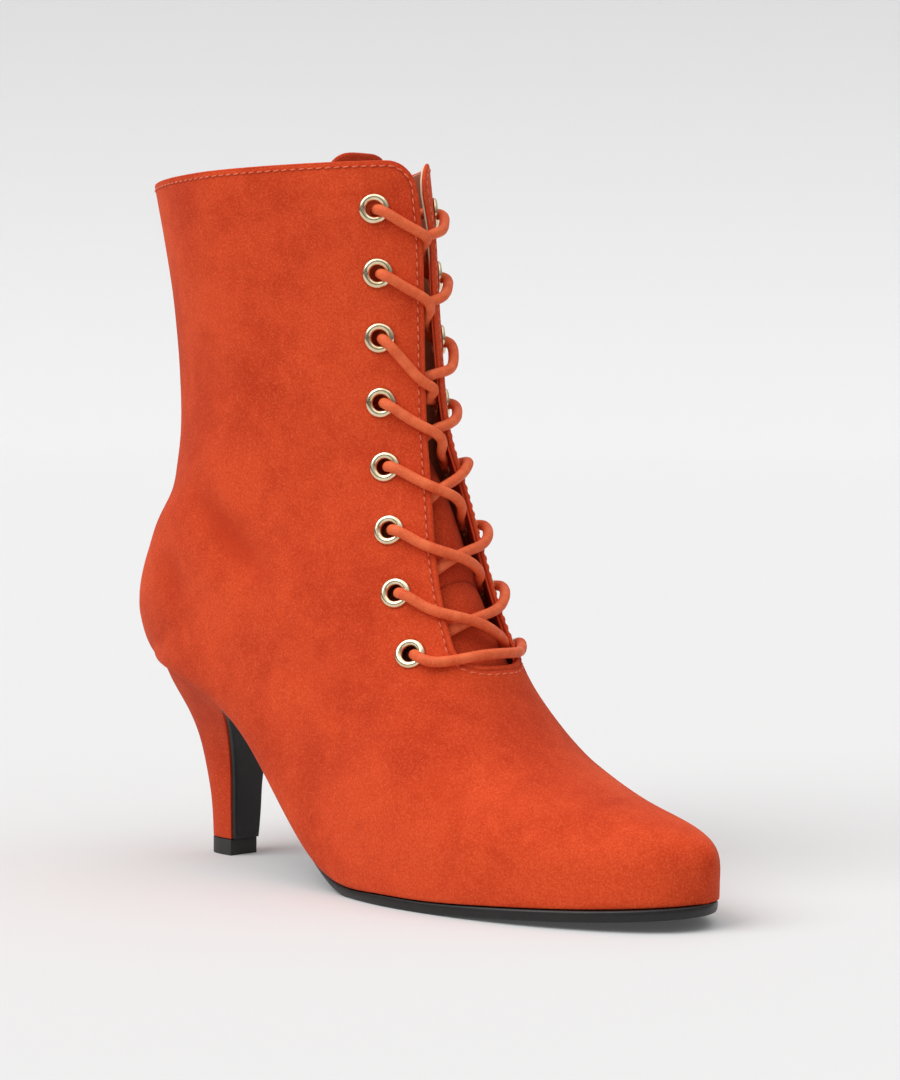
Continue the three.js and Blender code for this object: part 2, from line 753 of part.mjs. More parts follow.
// Insole: a sheet inside the wall, over sole and heel.
function insoleGeometry() {
  const inset = -(WALL + INSOLE_INSET);
  const heelStations = heelShares.slice(1).map((share) => (
    THREE.MathUtils.lerp(breastStation, 1, share)));
  const rows = [...soleStations, ...heelStations].map((station) => {
    const places = [-1, 1].map((side) => {
      const at = outlinePoint(station, side, inset);
      at.y = side * Math.max(0, side * at.y);
      return at;
    });
    return [INSOLE_SHEET, 0].flatMap((rise) => places.map((p) => (
      new THREE.Vector3(p.x, p.y, lastBottom(p.x) + rise))));
  });
  return plateGeometry(rows);
}

// Top piece: the D of the heel's foot, on the floor.
function topPieceGeometry() {
  const outer = heelShares.map((share) => footOutline(share, -1));
  const inner = heelShares.slice(0, -1).reverse().map((share) => footOutline(share, 1));
  const shape = new THREE.Shape([...outer, ...inner]);
  return new THREE.ExtrudeGeometry(shape, { depth: TOP_PIECE_HEIGHT, bevelEnabled: false });
}

// Tongue: a sheet under the facings that leans back into the shaft as it rises.
const tongueHalf = curveThrough(column(TONGUE, 0), column(TONGUE, 1));
const tongueLean = curveThrough(column(TONGUE, 0), column(TONGUE, 2), true);
const tongueSink = curveThrough(column(TONGUE, 0), column(TONGUE, 3), true);
const TONGUE_FOOT = TONGUE[0][0];
const TONGUE_TOP = 2 + TONGUE_RISE / MM_PER_SHAFT_STATION;

function tonguePoint(station, over) {
  const half = TONGUE_HALF_WIDTH * tongueHalf(station);
  const reach = half * over;
  const back = plantar(station).sub(dorsal(station)).normalize();
  const lean = clamp01(tongueLean(station));
  const crown = THREE.MathUtils.lerp(sectionCrown(station), TONGUE_CROWN, lean);
  const depth = WALL + CLEARANCE + TONGUE_PLAY + TONGUE_SINK * clamp01(tongueSink(station));
  return lifted(station, reach, -depth, crown).addScaledVector(back, TONGUE_LEAN * lean);
}

function tongueGeometry() {
  const points = [];
  for (let i = 0; i <= TONGUE_ROWS; i += 1) {
    for (let j = 0; j <= TONGUE_COLUMNS; j += 1) {
      const over = (2 * j) / TONGUE_COLUMNS - 1;
      const top = TONGUE_TOP - (TONGUE_ROUNDING / MM_PER_SHAFT_STATION) * over ** 4;
      points.push(tonguePoint(THREE.MathUtils.lerp(TONGUE_FOOT, top, i / TONGUE_ROWS), over));
    }
  }
  const faces = gridFaces(TONGUE_ROWS + 1, TONGUE_COLUMNS + 1, 0, true);
  return thicken(points, faces, TONGUE_SHEET);
}

// A strand of lace as a closed tube through its points.
function strand(points) {
  const corners = Array.from({ length: LACE_SIDES }, (_, k) => {
    const angle = (2 * Math.PI * k) / LACE_SIDES;
    return new THREE.Vector2(Math.cos(angle), Math.sin(angle)).multiplyScalar(LACE_DIAMETER / 2);
  });
  const path = new THREE.CatmullRomCurve3(points);
  const run = { steps: LACE_STEPS, bevelEnabled: false, extrudePath: path };
  return solidOf(new THREE.ExtrudeGeometry(new THREE.Shape(corners), run));
}

const laceLift = LACE_DIAMETER / 2 + CLEARANCE;
const laceEnd = EYELET_FLANGE / 2 + LACE_END_GAP;

// Straight bar over the throat's foot, between the lowest pair of eyelets.
function laceBar() {
  const station = EYELET_STATIONS[EYELET_ROWS - 1];
  const side = (sign) => {
    const edge = facingReach(station, sign);
    return [edge + EYELET_SETBACK - laceEnd, edge + LACE_PASS].map((reach) => (
      lifted(station, sign * reach, laceLift + BAR_LIFT)));
  };
  const middle = lifted(station, 0, laceLift - BAR_SAG);
  return geometryFrom(strand([...side(-1), middle, ...side(1).reverse()]));
}

// Crossing between two rows: each strand leaves an eyelet of the upper row, passes over the
// facing's edge and the middle line, and ends in the gap. The outer strand lies on top.
function laceCross(row) {
  const high = EYELET_STATIONS[row];
  const low = EYELET_STATIONS[row + 1];
  const middle = (high + low) / 2;
  const strands = [-1, 1].map((side) => {
    const edge = facingReach(middle, side);
    const full = edge + EYELET_SETBACK;
    const spare = Math.max(CLEARANCE, edge - LACE_DIAMETER / 2 - CLEARANCE);
    const sink = Math.min(1, edge / THROAT_HALF_GAP);
    const overMiddle = laceLift + (side < 0 ? LACE_OVER : -LACE_UNDER * sink);
    const at = (reach, lift) => {
      const station = THREE.MathUtils.lerp(middle, high, reach / full);
      return lifted(station, side * reach, lift);
    };
    return strand([
      at(full - laceEnd, laceLift),
      at(edge + LACE_PASS, laceLift),
      at(0, overMiddle),
      at(-spare, overMiddle - LACE_DIP * sink),
    ]);
  });
  return geometryFrom(strands[0].add(strands[1]));
}

// Assembly
const holes = [];
for (let row = 0; row < EYELET_ROWS; row += 1) {
  [-1, 1].forEach((side) => holes.push(eyeletHole(row, side)));
}
const wall = solidOf(upperGeometry());
add('upper', geometryFrom(holes.reduce((left, hole) => left.subtract(hole), wall)), MATERIALS.suede);
add('tongue', tongueGeometry(), MATERIALS.suede);
add('insole', insoleGeometry(), MATERIALS.lining);
add('outsole', outsoleGeometry(), MATERIALS.sole);
add('heel', heelGeometry(), MATERIALS.suede);
add('top_piece', topPieceGeometry(), MATERIALS.sole);

for (let row = 0; row < EYELET_ROWS; row += 1) {
  [-1, 1].forEach((side) => {
    const { at, axis } = eyeletPlace(row, side);
    const name = `eyelet_${side < 0 ? 'outer' : 'inner'}_${row + 1}`;
    const eyelet = add(name, eyeletGeometry(), MATERIALS.metal);
    eyelet.position.copy(at);
    eyelet.quaternion.setFromUnitVectors(new THREE.Vector3(0, 1, 0), axis);
  });
}

for (let row = 0; row < EYELET_ROWS - 1; row += 1) {
  add(`lace_cross_${row + 1}`, laceCross(row), MATERIALS.lace);
}
add(`lace_bar_${EYELET_ROWS}`, laceBar(), MATERIALS.lace);

const box = new THREE.Box3().setFromObject(boot);
boot.position.set(-(box.min.x + box.max.x) / 2, -(box.min.y + box.max.y) / 2, 0);

export default boot;
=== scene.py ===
import math

import bpy
import numpy as np
from mathutils import Matrix, Vector
from mathutils.bvhtree import BVHTree


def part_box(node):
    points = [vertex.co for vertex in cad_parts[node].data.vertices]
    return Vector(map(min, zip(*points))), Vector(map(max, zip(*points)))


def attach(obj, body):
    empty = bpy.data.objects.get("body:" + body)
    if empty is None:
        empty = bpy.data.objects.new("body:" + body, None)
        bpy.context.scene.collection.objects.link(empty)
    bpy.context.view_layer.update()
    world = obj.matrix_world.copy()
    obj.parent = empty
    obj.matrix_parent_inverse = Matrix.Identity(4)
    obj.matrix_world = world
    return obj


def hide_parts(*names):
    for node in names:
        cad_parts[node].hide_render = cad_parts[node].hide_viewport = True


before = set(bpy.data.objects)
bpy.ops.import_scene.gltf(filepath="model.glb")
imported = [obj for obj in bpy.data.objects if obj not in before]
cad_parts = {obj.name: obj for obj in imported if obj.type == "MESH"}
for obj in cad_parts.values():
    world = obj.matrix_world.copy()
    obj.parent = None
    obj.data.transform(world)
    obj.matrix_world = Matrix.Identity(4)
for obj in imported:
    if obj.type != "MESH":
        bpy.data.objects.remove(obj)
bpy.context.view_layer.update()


# Upper
# Vamp and quarters of one suede, drawn over the last and lasted under the foot. The throat is
# cut out down to the instep and its facings carry the eyelets. A closed seam runs up the back.
LENGTH = 238.0
HALF_BALL = 38.0
SEAT_HEIGHT = 65.0
COLLAR_HEIGHT = 231.0
COLLAR_DROP = 5.5
TOE_SWING = 2.0
TOE_SWING_FROM = 0.63
EDGE_TUCK = 1.5
EDGE_TUCK_FROM = 0.8
WALL = 2.0
CLEARANCE = 0.3
THROAT_HALF_GAP = 14.0
THROAT_ROUNDING = 0.055
THROAT_ROUNDNESS = 2.2
COLLAR_CORNER = 9.0
CORNER_FROM = 1.7
SHAFT_STATION = (COLLAR_HEIGHT - SEAT_HEIGHT) / 2
HEEL_TIP_BREAST = 33.7

SECTIONS = np.array([
    # station, forward, up, outer, inner, widest, crown, keel
    [0.000, 1.012, 0.093, 0.000, 0.000, 0.56, 2.18, 3.5],
    [0.125, 0.953, 0.131, 0.448, 0.431, 0.61, 2.17, 3.5],
    [0.250, 0.830, 0.163, 0.805, 0.793, 0.66, 2.07, 3.5],
    [0.375, 0.714, 0.227, 1.044, 1.004, 0.70, 2.00, 3.5],
    [0.500, 0.637, 0.334, 1.004, 0.945, 0.71, 1.94, 3.2],
    [0.625, 0.596, 0.433, 0.889, 0.909, 0.68, 1.92, 3.0],
    [0.750, 0.572, 0.514, 0.860, 0.903, 0.62, 1.88, 2.8],
    [0.875, 0.554, 0.572, 0.847, 0.888, 0.58, 1.85, 2.6],
    [1.000, 0.538, 0.617, 0.856, 0.875, 0.56, 1.82, 2.5],
    [1.250, 0.522, 0.709, 0.836, 0.836, 0.51, 1.76, 2.1],
    [1.500, 0.514, 0.803, 0.832, 0.827, 0.50, 1.65, 1.95],
    [1.750, 0.508, 0.900, 0.921, 0.902, 0.52, 1.55, 1.95],
    [2.000, 0.494, 1.000, 1.014, 0.985, 0.53, 1.50, 2.1],
])
FEATHER_EDGE = np.array([
    # along, outer, inner, lift
    [1.000, 0.000, 0.000, 0.125],
    [0.965, 0.408, 0.405, 0.114],
    [0.870, 0.750, 0.760, 0.092],
    [0.760, 0.947, 0.971, 0.073],
    [0.660, 1.013, 0.960, 0.059],
    [0.580, 1.000, 0.816, 0.056],
    [0.510, 0.913, 0.671, 0.056],
    [0.440, 0.795, 0.566, 0.132],
    [0.360, 0.700, 0.539, 0.371],
    [0.270, 0.645, 0.579, 0.694],
    [0.170, 0.642, 0.645, 0.900],
    [0.070, 0.510, 0.513, 1.000],
    [0.015, 0.247, 0.250, 1.003],
    [0.000, 0.000, 0.000, 0.978],
])
BACK_LINE = np.array([
    # rise, forward
    [0.00, 0.000],
    [0.07, -0.025],
    [0.16, -0.031],
    [0.26, -0.006],
    [0.40, 0.036],
    [0.60, 0.047],
    [0.80, 0.040],
    [1.00, 0.019],
])
THROAT = np.array([
    # station, half gap
    [0.475, 1.02],
    [0.625, 0.82],
    [0.750, 0.64],
    [0.875, 0.49],
    [1.000, 0.37],
    [1.250, 0.25],
    [1.500, 0.18],
    [1.750, 0.155],
    [2.000, 0.13],
])
THROAT_FOOT = THROAT[0, 0]


def curve_through(knots, values, level_start=False, level_end=False):
    """Natural cubic through the knots, or one held level at an end. The second derivatives come
    from one row of equations, and the curve is then read off span by span."""
    step = np.diff(knots)
    slope = np.diff(values) / step
    count = len(knots)
    rows = np.eye(count)
    bend = np.zeros(count)
    inside = np.arange(1, count - 1)
    rows[inside, inside - 1] = step[:-1]
    rows[inside, inside] = 2 * (step[:-1] + step[1:])
    rows[inside, inside + 1] = step[1:]
    bend[inside] = 6 * np.diff(slope)
    if level_start:
        rows[0, :2] = 2 * step[0], step[0]
        bend[0] = 6 * slope[0]
    if level_end:
        rows[-1, -2:] = step[-1], 2 * step[-1]
        bend[-1] = -6 * slope[-1]
    bend = np.linalg.solve(rows, bend)

    def read(at):
        span = np.clip(np.searchsorted(knots, at) - 1, 0, count - 2)
        width = step[span]
        right = (at - knots[span]) / width
        left = 1 - right
        curved = (left**3 - left) * bend[span] + (right**3 - right) * bend[span + 1]
        return left * values[span] + right * values[span + 1] + curved * width**2 / 6

    return read


def smoothstep(value, low, high):
    """0 below low, 1 above high, and 3t2 - 2t3 between them."""
    share = np.clip((value - low) / (high - low), 0, 1)
    return share * share * (3 - 2 * share)


def along_of(station):
    """Place along the foot of a station, as a share of its length: half of 1 + cos(pi station)."""
    return (1 + np.cos(math.pi * station)) / 2


def station_of(along):
    """The station of a place along the foot."""
    return np.arccos(np.clip(2 * along - 1, -1, 1)) / math.pi


section_forward = curve_through(SECTIONS[:, 0], SECTIONS[:, 1], True)
section_up, section_outer, section_inner, section_widest, section_crown, section_keel = (
    curve_through(SECTIONS[:, 0], SECTIONS[:, column]) for column in range(2, 8))
edge_stations = station_of(FEATHER_EDGE[:, 0])
edge_outer = curve_through(edge_stations, FEATHER_EDGE[:, 1])
edge_inner = curve_through(edge_stations, FEATHER_EDGE[:, 2])
edge_lift = curve_through(edge_stations, FEATHER_EDGE[:, 3], True, True)
back_forward = curve_through(BACK_LINE[:, 0], BACK_LINE[:, 1])
throat_share = curve_through(THROAT[:, 0], THROAT[:, 1])


def half_gap(station):
    """Half gap between the facings: none on the vamp, then a U of a superellipse's rounding."""
    into = np.clip((station - THROAT_FOOT) / THROAT_ROUNDING, 0, 1)
    opened = (1 - (1 - into) ** THROAT_ROUNDNESS) ** (1 / THROAT_ROUNDNESS)
    return THROAT_HALF_GAP * throat_share(station) * opened


def swing(x):
    """The toe swings to the inner side with the square of the way past the ball."""
    start = TOE_SWING_FROM * LENGTH
    return TOE_SWING * np.clip((x - start) / (LENGTH - start), 0, 1) ** 2


def dorsal(station):
    """Front end of a section, on the middle line."""
    station = np.asarray(station, float)
    forward = LENGTH * section_forward(station)
    return np.stack([forward, 0 * station, COLLAR_HEIGHT * section_up(station)], -1)


def plantar(station):
    """Other end of a section: the middle of the sole, and on the shaft the back seam."""
    station = np.asarray(station, float)
    rise = np.clip(station - 1, 0, None)
    seat = SEAT_HEIGHT * edge_lift(np.array(1.0))
    foot = station <= 1
    held = np.minimum(station, 1)
    x = np.where(foot, LENGTH * along_of(held), LENGTH * back_forward(rise))
    shaft = seat + (COLLAR_HEIGHT - COLLAR_DROP - seat) * rise
    z = np.where(foot, SEAT_HEIGHT * edge_lift(held), shaft)
    return np.stack([x, 0 * station, z], -1)


def edge_half(station, side):
    """Half width of the feather edge at a station, nothing behind the heel seat."""
    held = np.minimum(station, 1)
    share = np.where(side < 0, edge_outer(held), edge_inner(held))
    return np.where(station >= 1, 0, HALF_BALL * np.maximum(share, 0))


def section_half(station, side):
    """Half width of the last at a section's widest place."""
    return HALF_BALL * np.where(side < 0, section_outer(station), section_inner(station))


def section_point(station, side, turn, crown=None):
    """A section's outline: a superellipse quarter down to the widest place at turn 1, and another
    that ends at the feather edge at turn 2."""
    station, side, turn = np.broadcast_arrays(
        np.asarray(station, float), np.asarray(side, float), np.asarray(turn, float))
    crown = section_crown(station) if crown is None else crown
    edge = edge_half(station, side)
    half = np.maximum(np.maximum(section_half(station, side), edge), 1e-6)
    widest = section_widest(station)
    keel = section_keel(station)
    angle = turn * math.pi / 2
    above = np.minimum(angle, math.pi / 2)
    below = np.clip(angle - math.pi / 2, 0, math.pi / 2)
    tuck = 1 + EDGE_TUCK * smoothstep(station, EDGE_TUCK_FROM, 1)
    narrowing = np.clip(np.cos(below), 0, 1) ** (2 / keel)
    upper_down = widest * (1 - np.clip(np.cos(above), 0, 1) ** (2 / crown))
    lower_down = widest + (1 - widest) * np.sin(below) ** (2 / keel)
    down = np.where(turn <= 1, upper_down, lower_down)[..., None]
    upper_out = half * np.sin(above) ** (2 / crown)
    lower_out = half * narrowing + edge * (1 - narrowing) ** tuck
    point = dorsal(station) * (1 - down) + plantar(station) * down
    point[..., 1] = side * np.where(turn <= 1, upper_out, lower_out) + swing(point[..., 0])
    return point


def turn_at(station, side, out):
    """The turn at which a section is a given half width wide, above its widest place."""
    share = np.clip(out / np.maximum(section_half(station, side), 1e-6), 0, 1)
    return np.arcsin(share ** (section_crown(station) / 2)) / (math.pi / 2)


def skin(station, across, side):
    """Outside of the upper: across runs from the facing's edge, or the middle of the vamp, at 0
    to the feather edge or back seam at 1."""
    start = turn_at(station, side, half_gap(station))
    turn = np.where(across < 0.5, start + (1 - start) * across * 2, across * 2)
    return section_point(station, side, turn)


WALK_STEPS = 65
SHORT_WALK_STEPS = 33


def lengths(points):
    """Distance walked along each row of points."""
    pieces = np.linalg.norm(np.diff(points, axis=-2), axis=-1)
    return np.concatenate([np.zeros(pieces.shape[:-1] + (1,)), np.cumsum(pieces, -1)], -1)


def around(station, reach, crown=None):
    """A point of the outside at a distance round it from the middle line, to the outer side where
    that distance is negative: its section is walked in small steps."""
    station, reach = (a.astype(float) for a in np.broadcast_arrays(station, reach))
    turns = np.linspace(0, 1, WALK_STEPS)
    side = np.where(reach < 0, -1.0, 1.0)
    if crown is not None:
        crown = np.broadcast_to(crown, station.shape)[..., None]
    walk = section_point(station[..., None], side[..., None], turns, crown)
    walked = lengths(walk)
    wanted = np.abs(reach)[..., None]
    at = np.clip((walked < wanted).sum(-1) - 1, 0, len(turns) - 2)[..., None]
    before = np.take_along_axis(walked, at, -1)
    after = np.take_along_axis(walked, at + 1, -1)
    share = (wanted - before) / (after - before)
    first = np.take_along_axis(walk, at[..., None], -2)[..., 0, :]
    second = np.take_along_axis(walk, at[..., None] + 1, -2)[..., 0, :]
    return first * (1 - share) + second * share


def facing_reach(station, side):
    """Distance round the outside from the middle line to the facing's edge."""
    station, side = (a.astype(float) for a in np.broadcast_arrays(station, side))
    end = turn_at(station, side, half_gap(station))
    turns = end[..., None] * np.linspace(0, 1, SHORT_WALK_STEPS)
    walk = section_point(station[..., None], side[..., None], turns)
    return lengths(walk)[..., -1]


def unit(vectors):
    """Vectors made one long."""
    return vectors / np.maximum(np.linalg.norm(vectors, axis=-1, keepdims=True), 1e-9)


def outward(station, reach, crown=None):
    """Direction straight out of the outside: the cross product of its two tangents."""
    up = around(station + 0.01, reach, crown) - around(station - 0.01, reach, crown)
    over = around(station, reach + 0.6, crown) - around(station, reach - 0.6, crown)
    return unit(np.cross(over, up))


def lifted(station, reach, lift, crown=None):
    """A point of the outside moved straight out by a lift."""
    out = outward(station, reach, crown)
    return around(station, reach, crown) + out * np.asarray(lift, float)[..., None]


tip_low, tip_high = (np.array(corner) * 1000 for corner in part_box("top_piece"))
OFFSET = np.array([tip_high[0] - HEEL_TIP_BREAST, (tip_low[1] + tip_high[1]) / 2, 0])


def to_frame(points):
    """Millimetres of the last to metres of the part's frame."""
    return (np.asarray(points) + OFFSET) / 1000


def faces_between(numbers, turned=False):
    """Faces between neighbours in a grid of point numbers; turned makes them face the other way."""
    a, b, c, d = numbers[:-1, :-1], numbers[:-1, 1:], numbers[1:, :-1], numbers[1:, 1:]
    return np.stack([a, b, d, c] if turned else [a, c, d, b], -1).reshape(-1, 4)


def grid_quads(rows, columns, start=0, turned=False):
    """Faces of a grid whose points are numbered row by row."""
    return faces_between(start + np.arange(rows * columns).reshape(rows, columns), turned)


def closed(numbers):
    """A grid of point numbers with its first column again after the last."""
    return np.concatenate([numbers, numbers[:, :1]], 1)


def merged(points, quads):
    """Points that lie on each other become one. Columns after the third are kept with them."""
    keys = np.round(points[:, :3], 3) + 0.0
    _, first, back = np.unique(keys, axis=0, return_index=True, return_inverse=True)
    return points[first], back.reshape(-1)[quads]


def sheet_normals(points, quads):
    """Sum of the area normals of the faces round each point, made one long."""
    across = points[quads[:, 2]] - points[quads[:, 0]]
    up = points[quads[:, 3]] - points[quads[:, 1]]
    total = np.zeros_like(points)
    for corner in range(4):
        np.add.at(total, quads[:, corner], np.cross(across, up))
    return unit(total)


def sides_of(quads):
    """Both ends of each side of every face, apart from sides of no length."""
    edges = np.concatenate([quads[:, [k, (k + 1) % 4]] for k in range(4)])
    return edges[edges[:, 0] != edges[:, 1]]


def neighbours(quads):
    """Pairs of points that share a side, each pair once."""
    return np.unique(np.sort(sides_of(quads), axis=1), axis=0)


def border_of(points, quads):
    """Edges that only one face has, each with that face on its left."""
    edges = sides_of(quads)
    keys = edges.min(1) * len(points) + edges.max(1)
    _, first, counts = np.unique(keys, return_index=True, return_counts=True)
    return edges[first[counts == 1]]


def shell(points, quads, thickness, rings=3):
    """Closed wall: the sheet, its copy one thickness further in, and a half round strip of rings
    along every border. Also says how deep in the wall each point lies, 0 outside to 1 inside."""
    normals = sheet_normals(points, quads)
    edges = border_of(points, quads)
    run = points[edges[:, 1]] - points[edges[:, 0]]
    out = np.zeros_like(points)
    for end in range(2):
        np.add.at(out, edges[:, end], unit(np.cross(run, normals[edges[:, end]])))
    rim = np.unique(edges)
    place = np.zeros(len(points), int)
    place[rim] = np.arange(len(rim))
    out = unit(out[rim])
    count = len(points)
    layers = [points, points - thickness * normals]
    depths = [np.zeros(count), np.ones(count)]
    numbers = [edges]
    for ring in range(1, rings + 1):
        angle = math.pi * ring / (rings + 1)
        turned = normals[rim] * math.cos(angle) + out * math.sin(angle)
        layers.append(points[rim] + thickness / 2 * (turned - normals[rim]))
        depths.append(np.full(len(rim), ring / (rings + 1)))
        numbers.append(2 * count + (ring - 1) * len(rim) + place[edges])
    numbers.append(count + edges)
    faces = [quads, quads[:, ::-1] + count]
    for near, far in zip(numbers[:-1], numbers[1:]):
        faces.append(np.stack([near[:, 0], far[:, 0], far[:, 1], near[:, 1]], -1))
    return np.concatenate(layers), np.concatenate(faces), np.concatenate(depths)


def punched(points, quads, places, axes, radius):
    """Round holes: faces whose middle lies within the radius of an axis go, and the points left
    on each rim are drawn onto the circle."""
    points = points.copy()
    for place, axis in zip(places, axes):
        offset = points - place
        along = offset @ axis
        flat = offset - along[:, None] * axis
        distance = np.where(np.abs(along) < 2 * radius, np.linalg.norm(flat, axis=1), np.inf)
        middle = distance[quads].mean(1)
        gone = middle < radius
        rim = np.intersect1d(quads[gone], quads[~gone])
        points[rim] += flat[rim] * (radius / distance[rim] - 1)[:, None]
        quads = quads[~gone]
    return points, quads


def mesh_piece(name, points, faces, material, slot, values=None):
    """A smooth piece from points in millimetres of the last and faces of four corners, of which
    two may be one point. values are numbers kept per point, for patterns along a surface. A body
    whose volume comes out negative has its faces turned round."""
    middle = points[faces].mean(1)
    area = np.cross(points[faces[:, 2]] - points[faces[:, 0]],
                    points[faces[:, 3]] - points[faces[:, 1]])
    if np.einsum("ij,ij->", middle, area) < 0:
        faces = faces[:, ::-1]
    used, back = np.unique(faces, return_inverse=True)
    faces = back.reshape(faces.shape)
    pinched = (faces == np.roll(faces, 1, axis=1)).any(1)
    corners = [list(dict.fromkeys(face)) for face in faces[pinched].tolist()]
    mesh = bpy.data.meshes.new(name)
    faces = faces[~pinched].tolist() + [c for c in corners if len(c) > 2]
    mesh.from_pydata(to_frame(points[used]), [], faces)
    mesh.polygons.foreach_set("use_smooth", np.ones(len(mesh.polygons), bool))
    for title, numbers in (values or {}).items():
        layer = mesh.attributes.new(title, "FLOAT", "POINT")
        layer.data.foreach_set("value", np.ascontiguousarray(numbers[used], np.float32))
    mesh.materials.append(material)
    mesh.update()
    piece = bpy.data.objects.new(name, mesh)
    bpy.context.scene.collection.objects.link(piece)
    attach(piece, "root")
    return piece


EYELET_ROWS = 8
EYELET_PITCH = 20.5
EYELET_BELOW_COLLAR = 15.0
EYELET_SETBACK = 14.3
EYELET_FLANGE = 9.8
EYELET_BORE = 5.0
HOLE_RADIUS = 3.3
SIDES = (-1.0, 1.0)


def eyelet_stations():
    """Stations of the eyelet rows, found by walking down the outer facing from the collar."""
    walk = np.arange(2, THROAT_FOOT, -0.004)
    path = around(walk, -(facing_reach(walk, -1.0) + EYELET_SETBACK))
    wanted = EYELET_BELOW_COLLAR + EYELET_PITCH * np.arange(EYELET_ROWS)
    return np.interp(wanted, lengths(path), walk)


EYELET_STATIONS = eyelet_stations()
eyelet_reach = {side: facing_reach(EYELET_STATIONS, side) + EYELET_SETBACK for side in SIDES}
eyelet_at = {side: around(EYELET_STATIONS, side * eyelet_reach[side]) for side in SIDES}
eyelet_axis = {side: outward(EYELET_STATIONS, side * eyelet_reach[side]) for side in SIDES}

# Soft troughs and ridges, on the side view of the last: from one place to another, how
# far each reaches, how deep it is (a ridge is negative), and whether it shows on one side only.
CREASES = np.array([
    # from x, from z, to x, to z, reach, depth, side
    [46, 123, 78, 99, 6.0, 1.9, -1],
    [40, 108, 66, 88, 7.0, -0.8, -1],
    [27, 104, 40, 86, 7.0, 1.1, -1],
    [2, 122, 30, 128, 6.0, 0.8, 0],
    [6, 110, 34, 117, 6.0, -0.6, 0],
    [96, 78, 122, 56, 9.0, 0.6, -1],
    [150, 44, 176, 30, 10.0, 0.5, 0],
    [132, 60, 150, 36, 9.0, -0.5, 0],
    [30, 168, 70, 158, 9.0, 0.6, -1],
    [26, 205, 64, 196, 12.0, -0.5, -1],
    [48, 121, 76, 101, 5.5, 0.7, 1],
])
FACING_LIFT = 0.9
FACING_LIFT_REACH = 7.0
EYELET_DIMPLE = 0.35
EYELET_DIMPLE_REACH = 3.5
SEAT_FROM, SEAT_UNTIL, SEAT_SHARE = 0.90, 1.05, 0.6
SEAT_SOFT = (0.85, 0.90, 1.05, 1.10)
SEAT_SOFT_SHARE = (0.3, 0.6)
SEAT_ROUNDS = 14
RIM_FOOT_STEPS, RIM_FACING_STEPS, RIM_COLLAR_STEPS = 40, 300, 200


def rim_path():
    """The edge of collar and throat as one line of points: along the outer collar to the front,
    down the outer facing, round the throat's foot and back the same way on the inner side."""
    foot = THROAT_FOOT + THROAT_ROUNDING * np.linspace(0, 1, RIM_FOOT_STEPS)[:-1] ** 3
    facing_rows = np.linspace(THROAT_FOOT + THROAT_ROUNDING, 2, RIM_FACING_STEPS)
    stations = np.concatenate([foot, facing_rows])
    across = np.linspace(0, 1, RIM_COLLAR_STEPS) ** 1.3
    halves = []
    for side in SIDES:
        facing = skin(rounded(stations, 0 * stations), 0 * stations, side)
        top = np.full_like(across, 2.0)
        reach = np.linalg.norm(skin(top, across, side) - skin(top, 0 * across, side), axis=-1)
        collar = skin(rounded(top, reach), across, side)
        halves.append(np.concatenate([facing[:-1], collar]))
    return np.concatenate([halves[0][::-1], halves[1][1:]])


def rounded(station, reach):
    """The collar's front corners are round: near the facing's edge the rows end lower, by a
    circle's share of the corner."""
    inset = np.clip(1 - reach / COLLAR_CORNER, 0, 1)
    drop = COLLAR_CORNER / SHAFT_STATION * (1 - np.sqrt(1 - inset**2))
    return station - drop * np.clip((station - CORNER_FROM) / (2 - CORNER_FROM), 0, 1)


def distance_to(points, line):
    """Distance of each point to the nearest of a line's points, a slice of points at a time."""
    nearest = np.full(len(points), np.inf)
    for start in range(0, len(points), 2000):
        part = points[start:start + 2000]
        gaps = np.linalg.norm(part[:, None] - line[None], axis=-1)
        nearest[start:start + 2000] = gaps.min(1)
    return nearest


def folds(points):
    """How far the creases press the suede in: a soft bell beside each segment."""
    depth_there = np.zeros(len(points))
    side = np.sign(points[:, 1])
    flat = points[:, [0, 2]]
    for x0, z0, x1, z1, reach, depth, where in CREASES:
        run = np.array([x1 - x0, z1 - z0])
        along = np.clip((flat - [x0, z0]) @ run / (run @ run), 0, 1)
        away = np.linalg.norm(flat - [x0, z0] - along[:, None] * run, axis=1)
        fade = np.sin(math.pi * np.clip(0.12 + 0.76 * along, 0, 1))
        shown = 1.0 if where == 0 else (side == where)
        depth_there += depth * fade * shown * np.exp(-((away / reach) ** 2))
    return depth_there


def relief(points, rim):
    """How far the suede stands in or out: its creases, facings that rise to their edges and
    dimples under the eyelets."""
    below_collar = smoothstep(COLLAR_HEIGHT - points[:, 2], 8, 24)
    height = FACING_LIFT * np.exp(-((rim / FACING_LIFT_REACH) ** 2)) * below_collar - folds(points)
    for hand in SIDES:
        for place in eyelet_at[hand]:
            away = np.linalg.norm(points - place, axis=1)
            height = height - EYELET_DIMPLE * np.exp(-((away / EYELET_DIMPLE_REACH) ** 4))
    return height


VAMP_ROWS, ROUNDING_ROWS, ANKLE_ROWS, SHAFT_ROWS = 88, 12, 66, 104
SUEDE_COLUMNS, LINING_COLUMNS, LINING_SHARE = 74, 44, 0.6


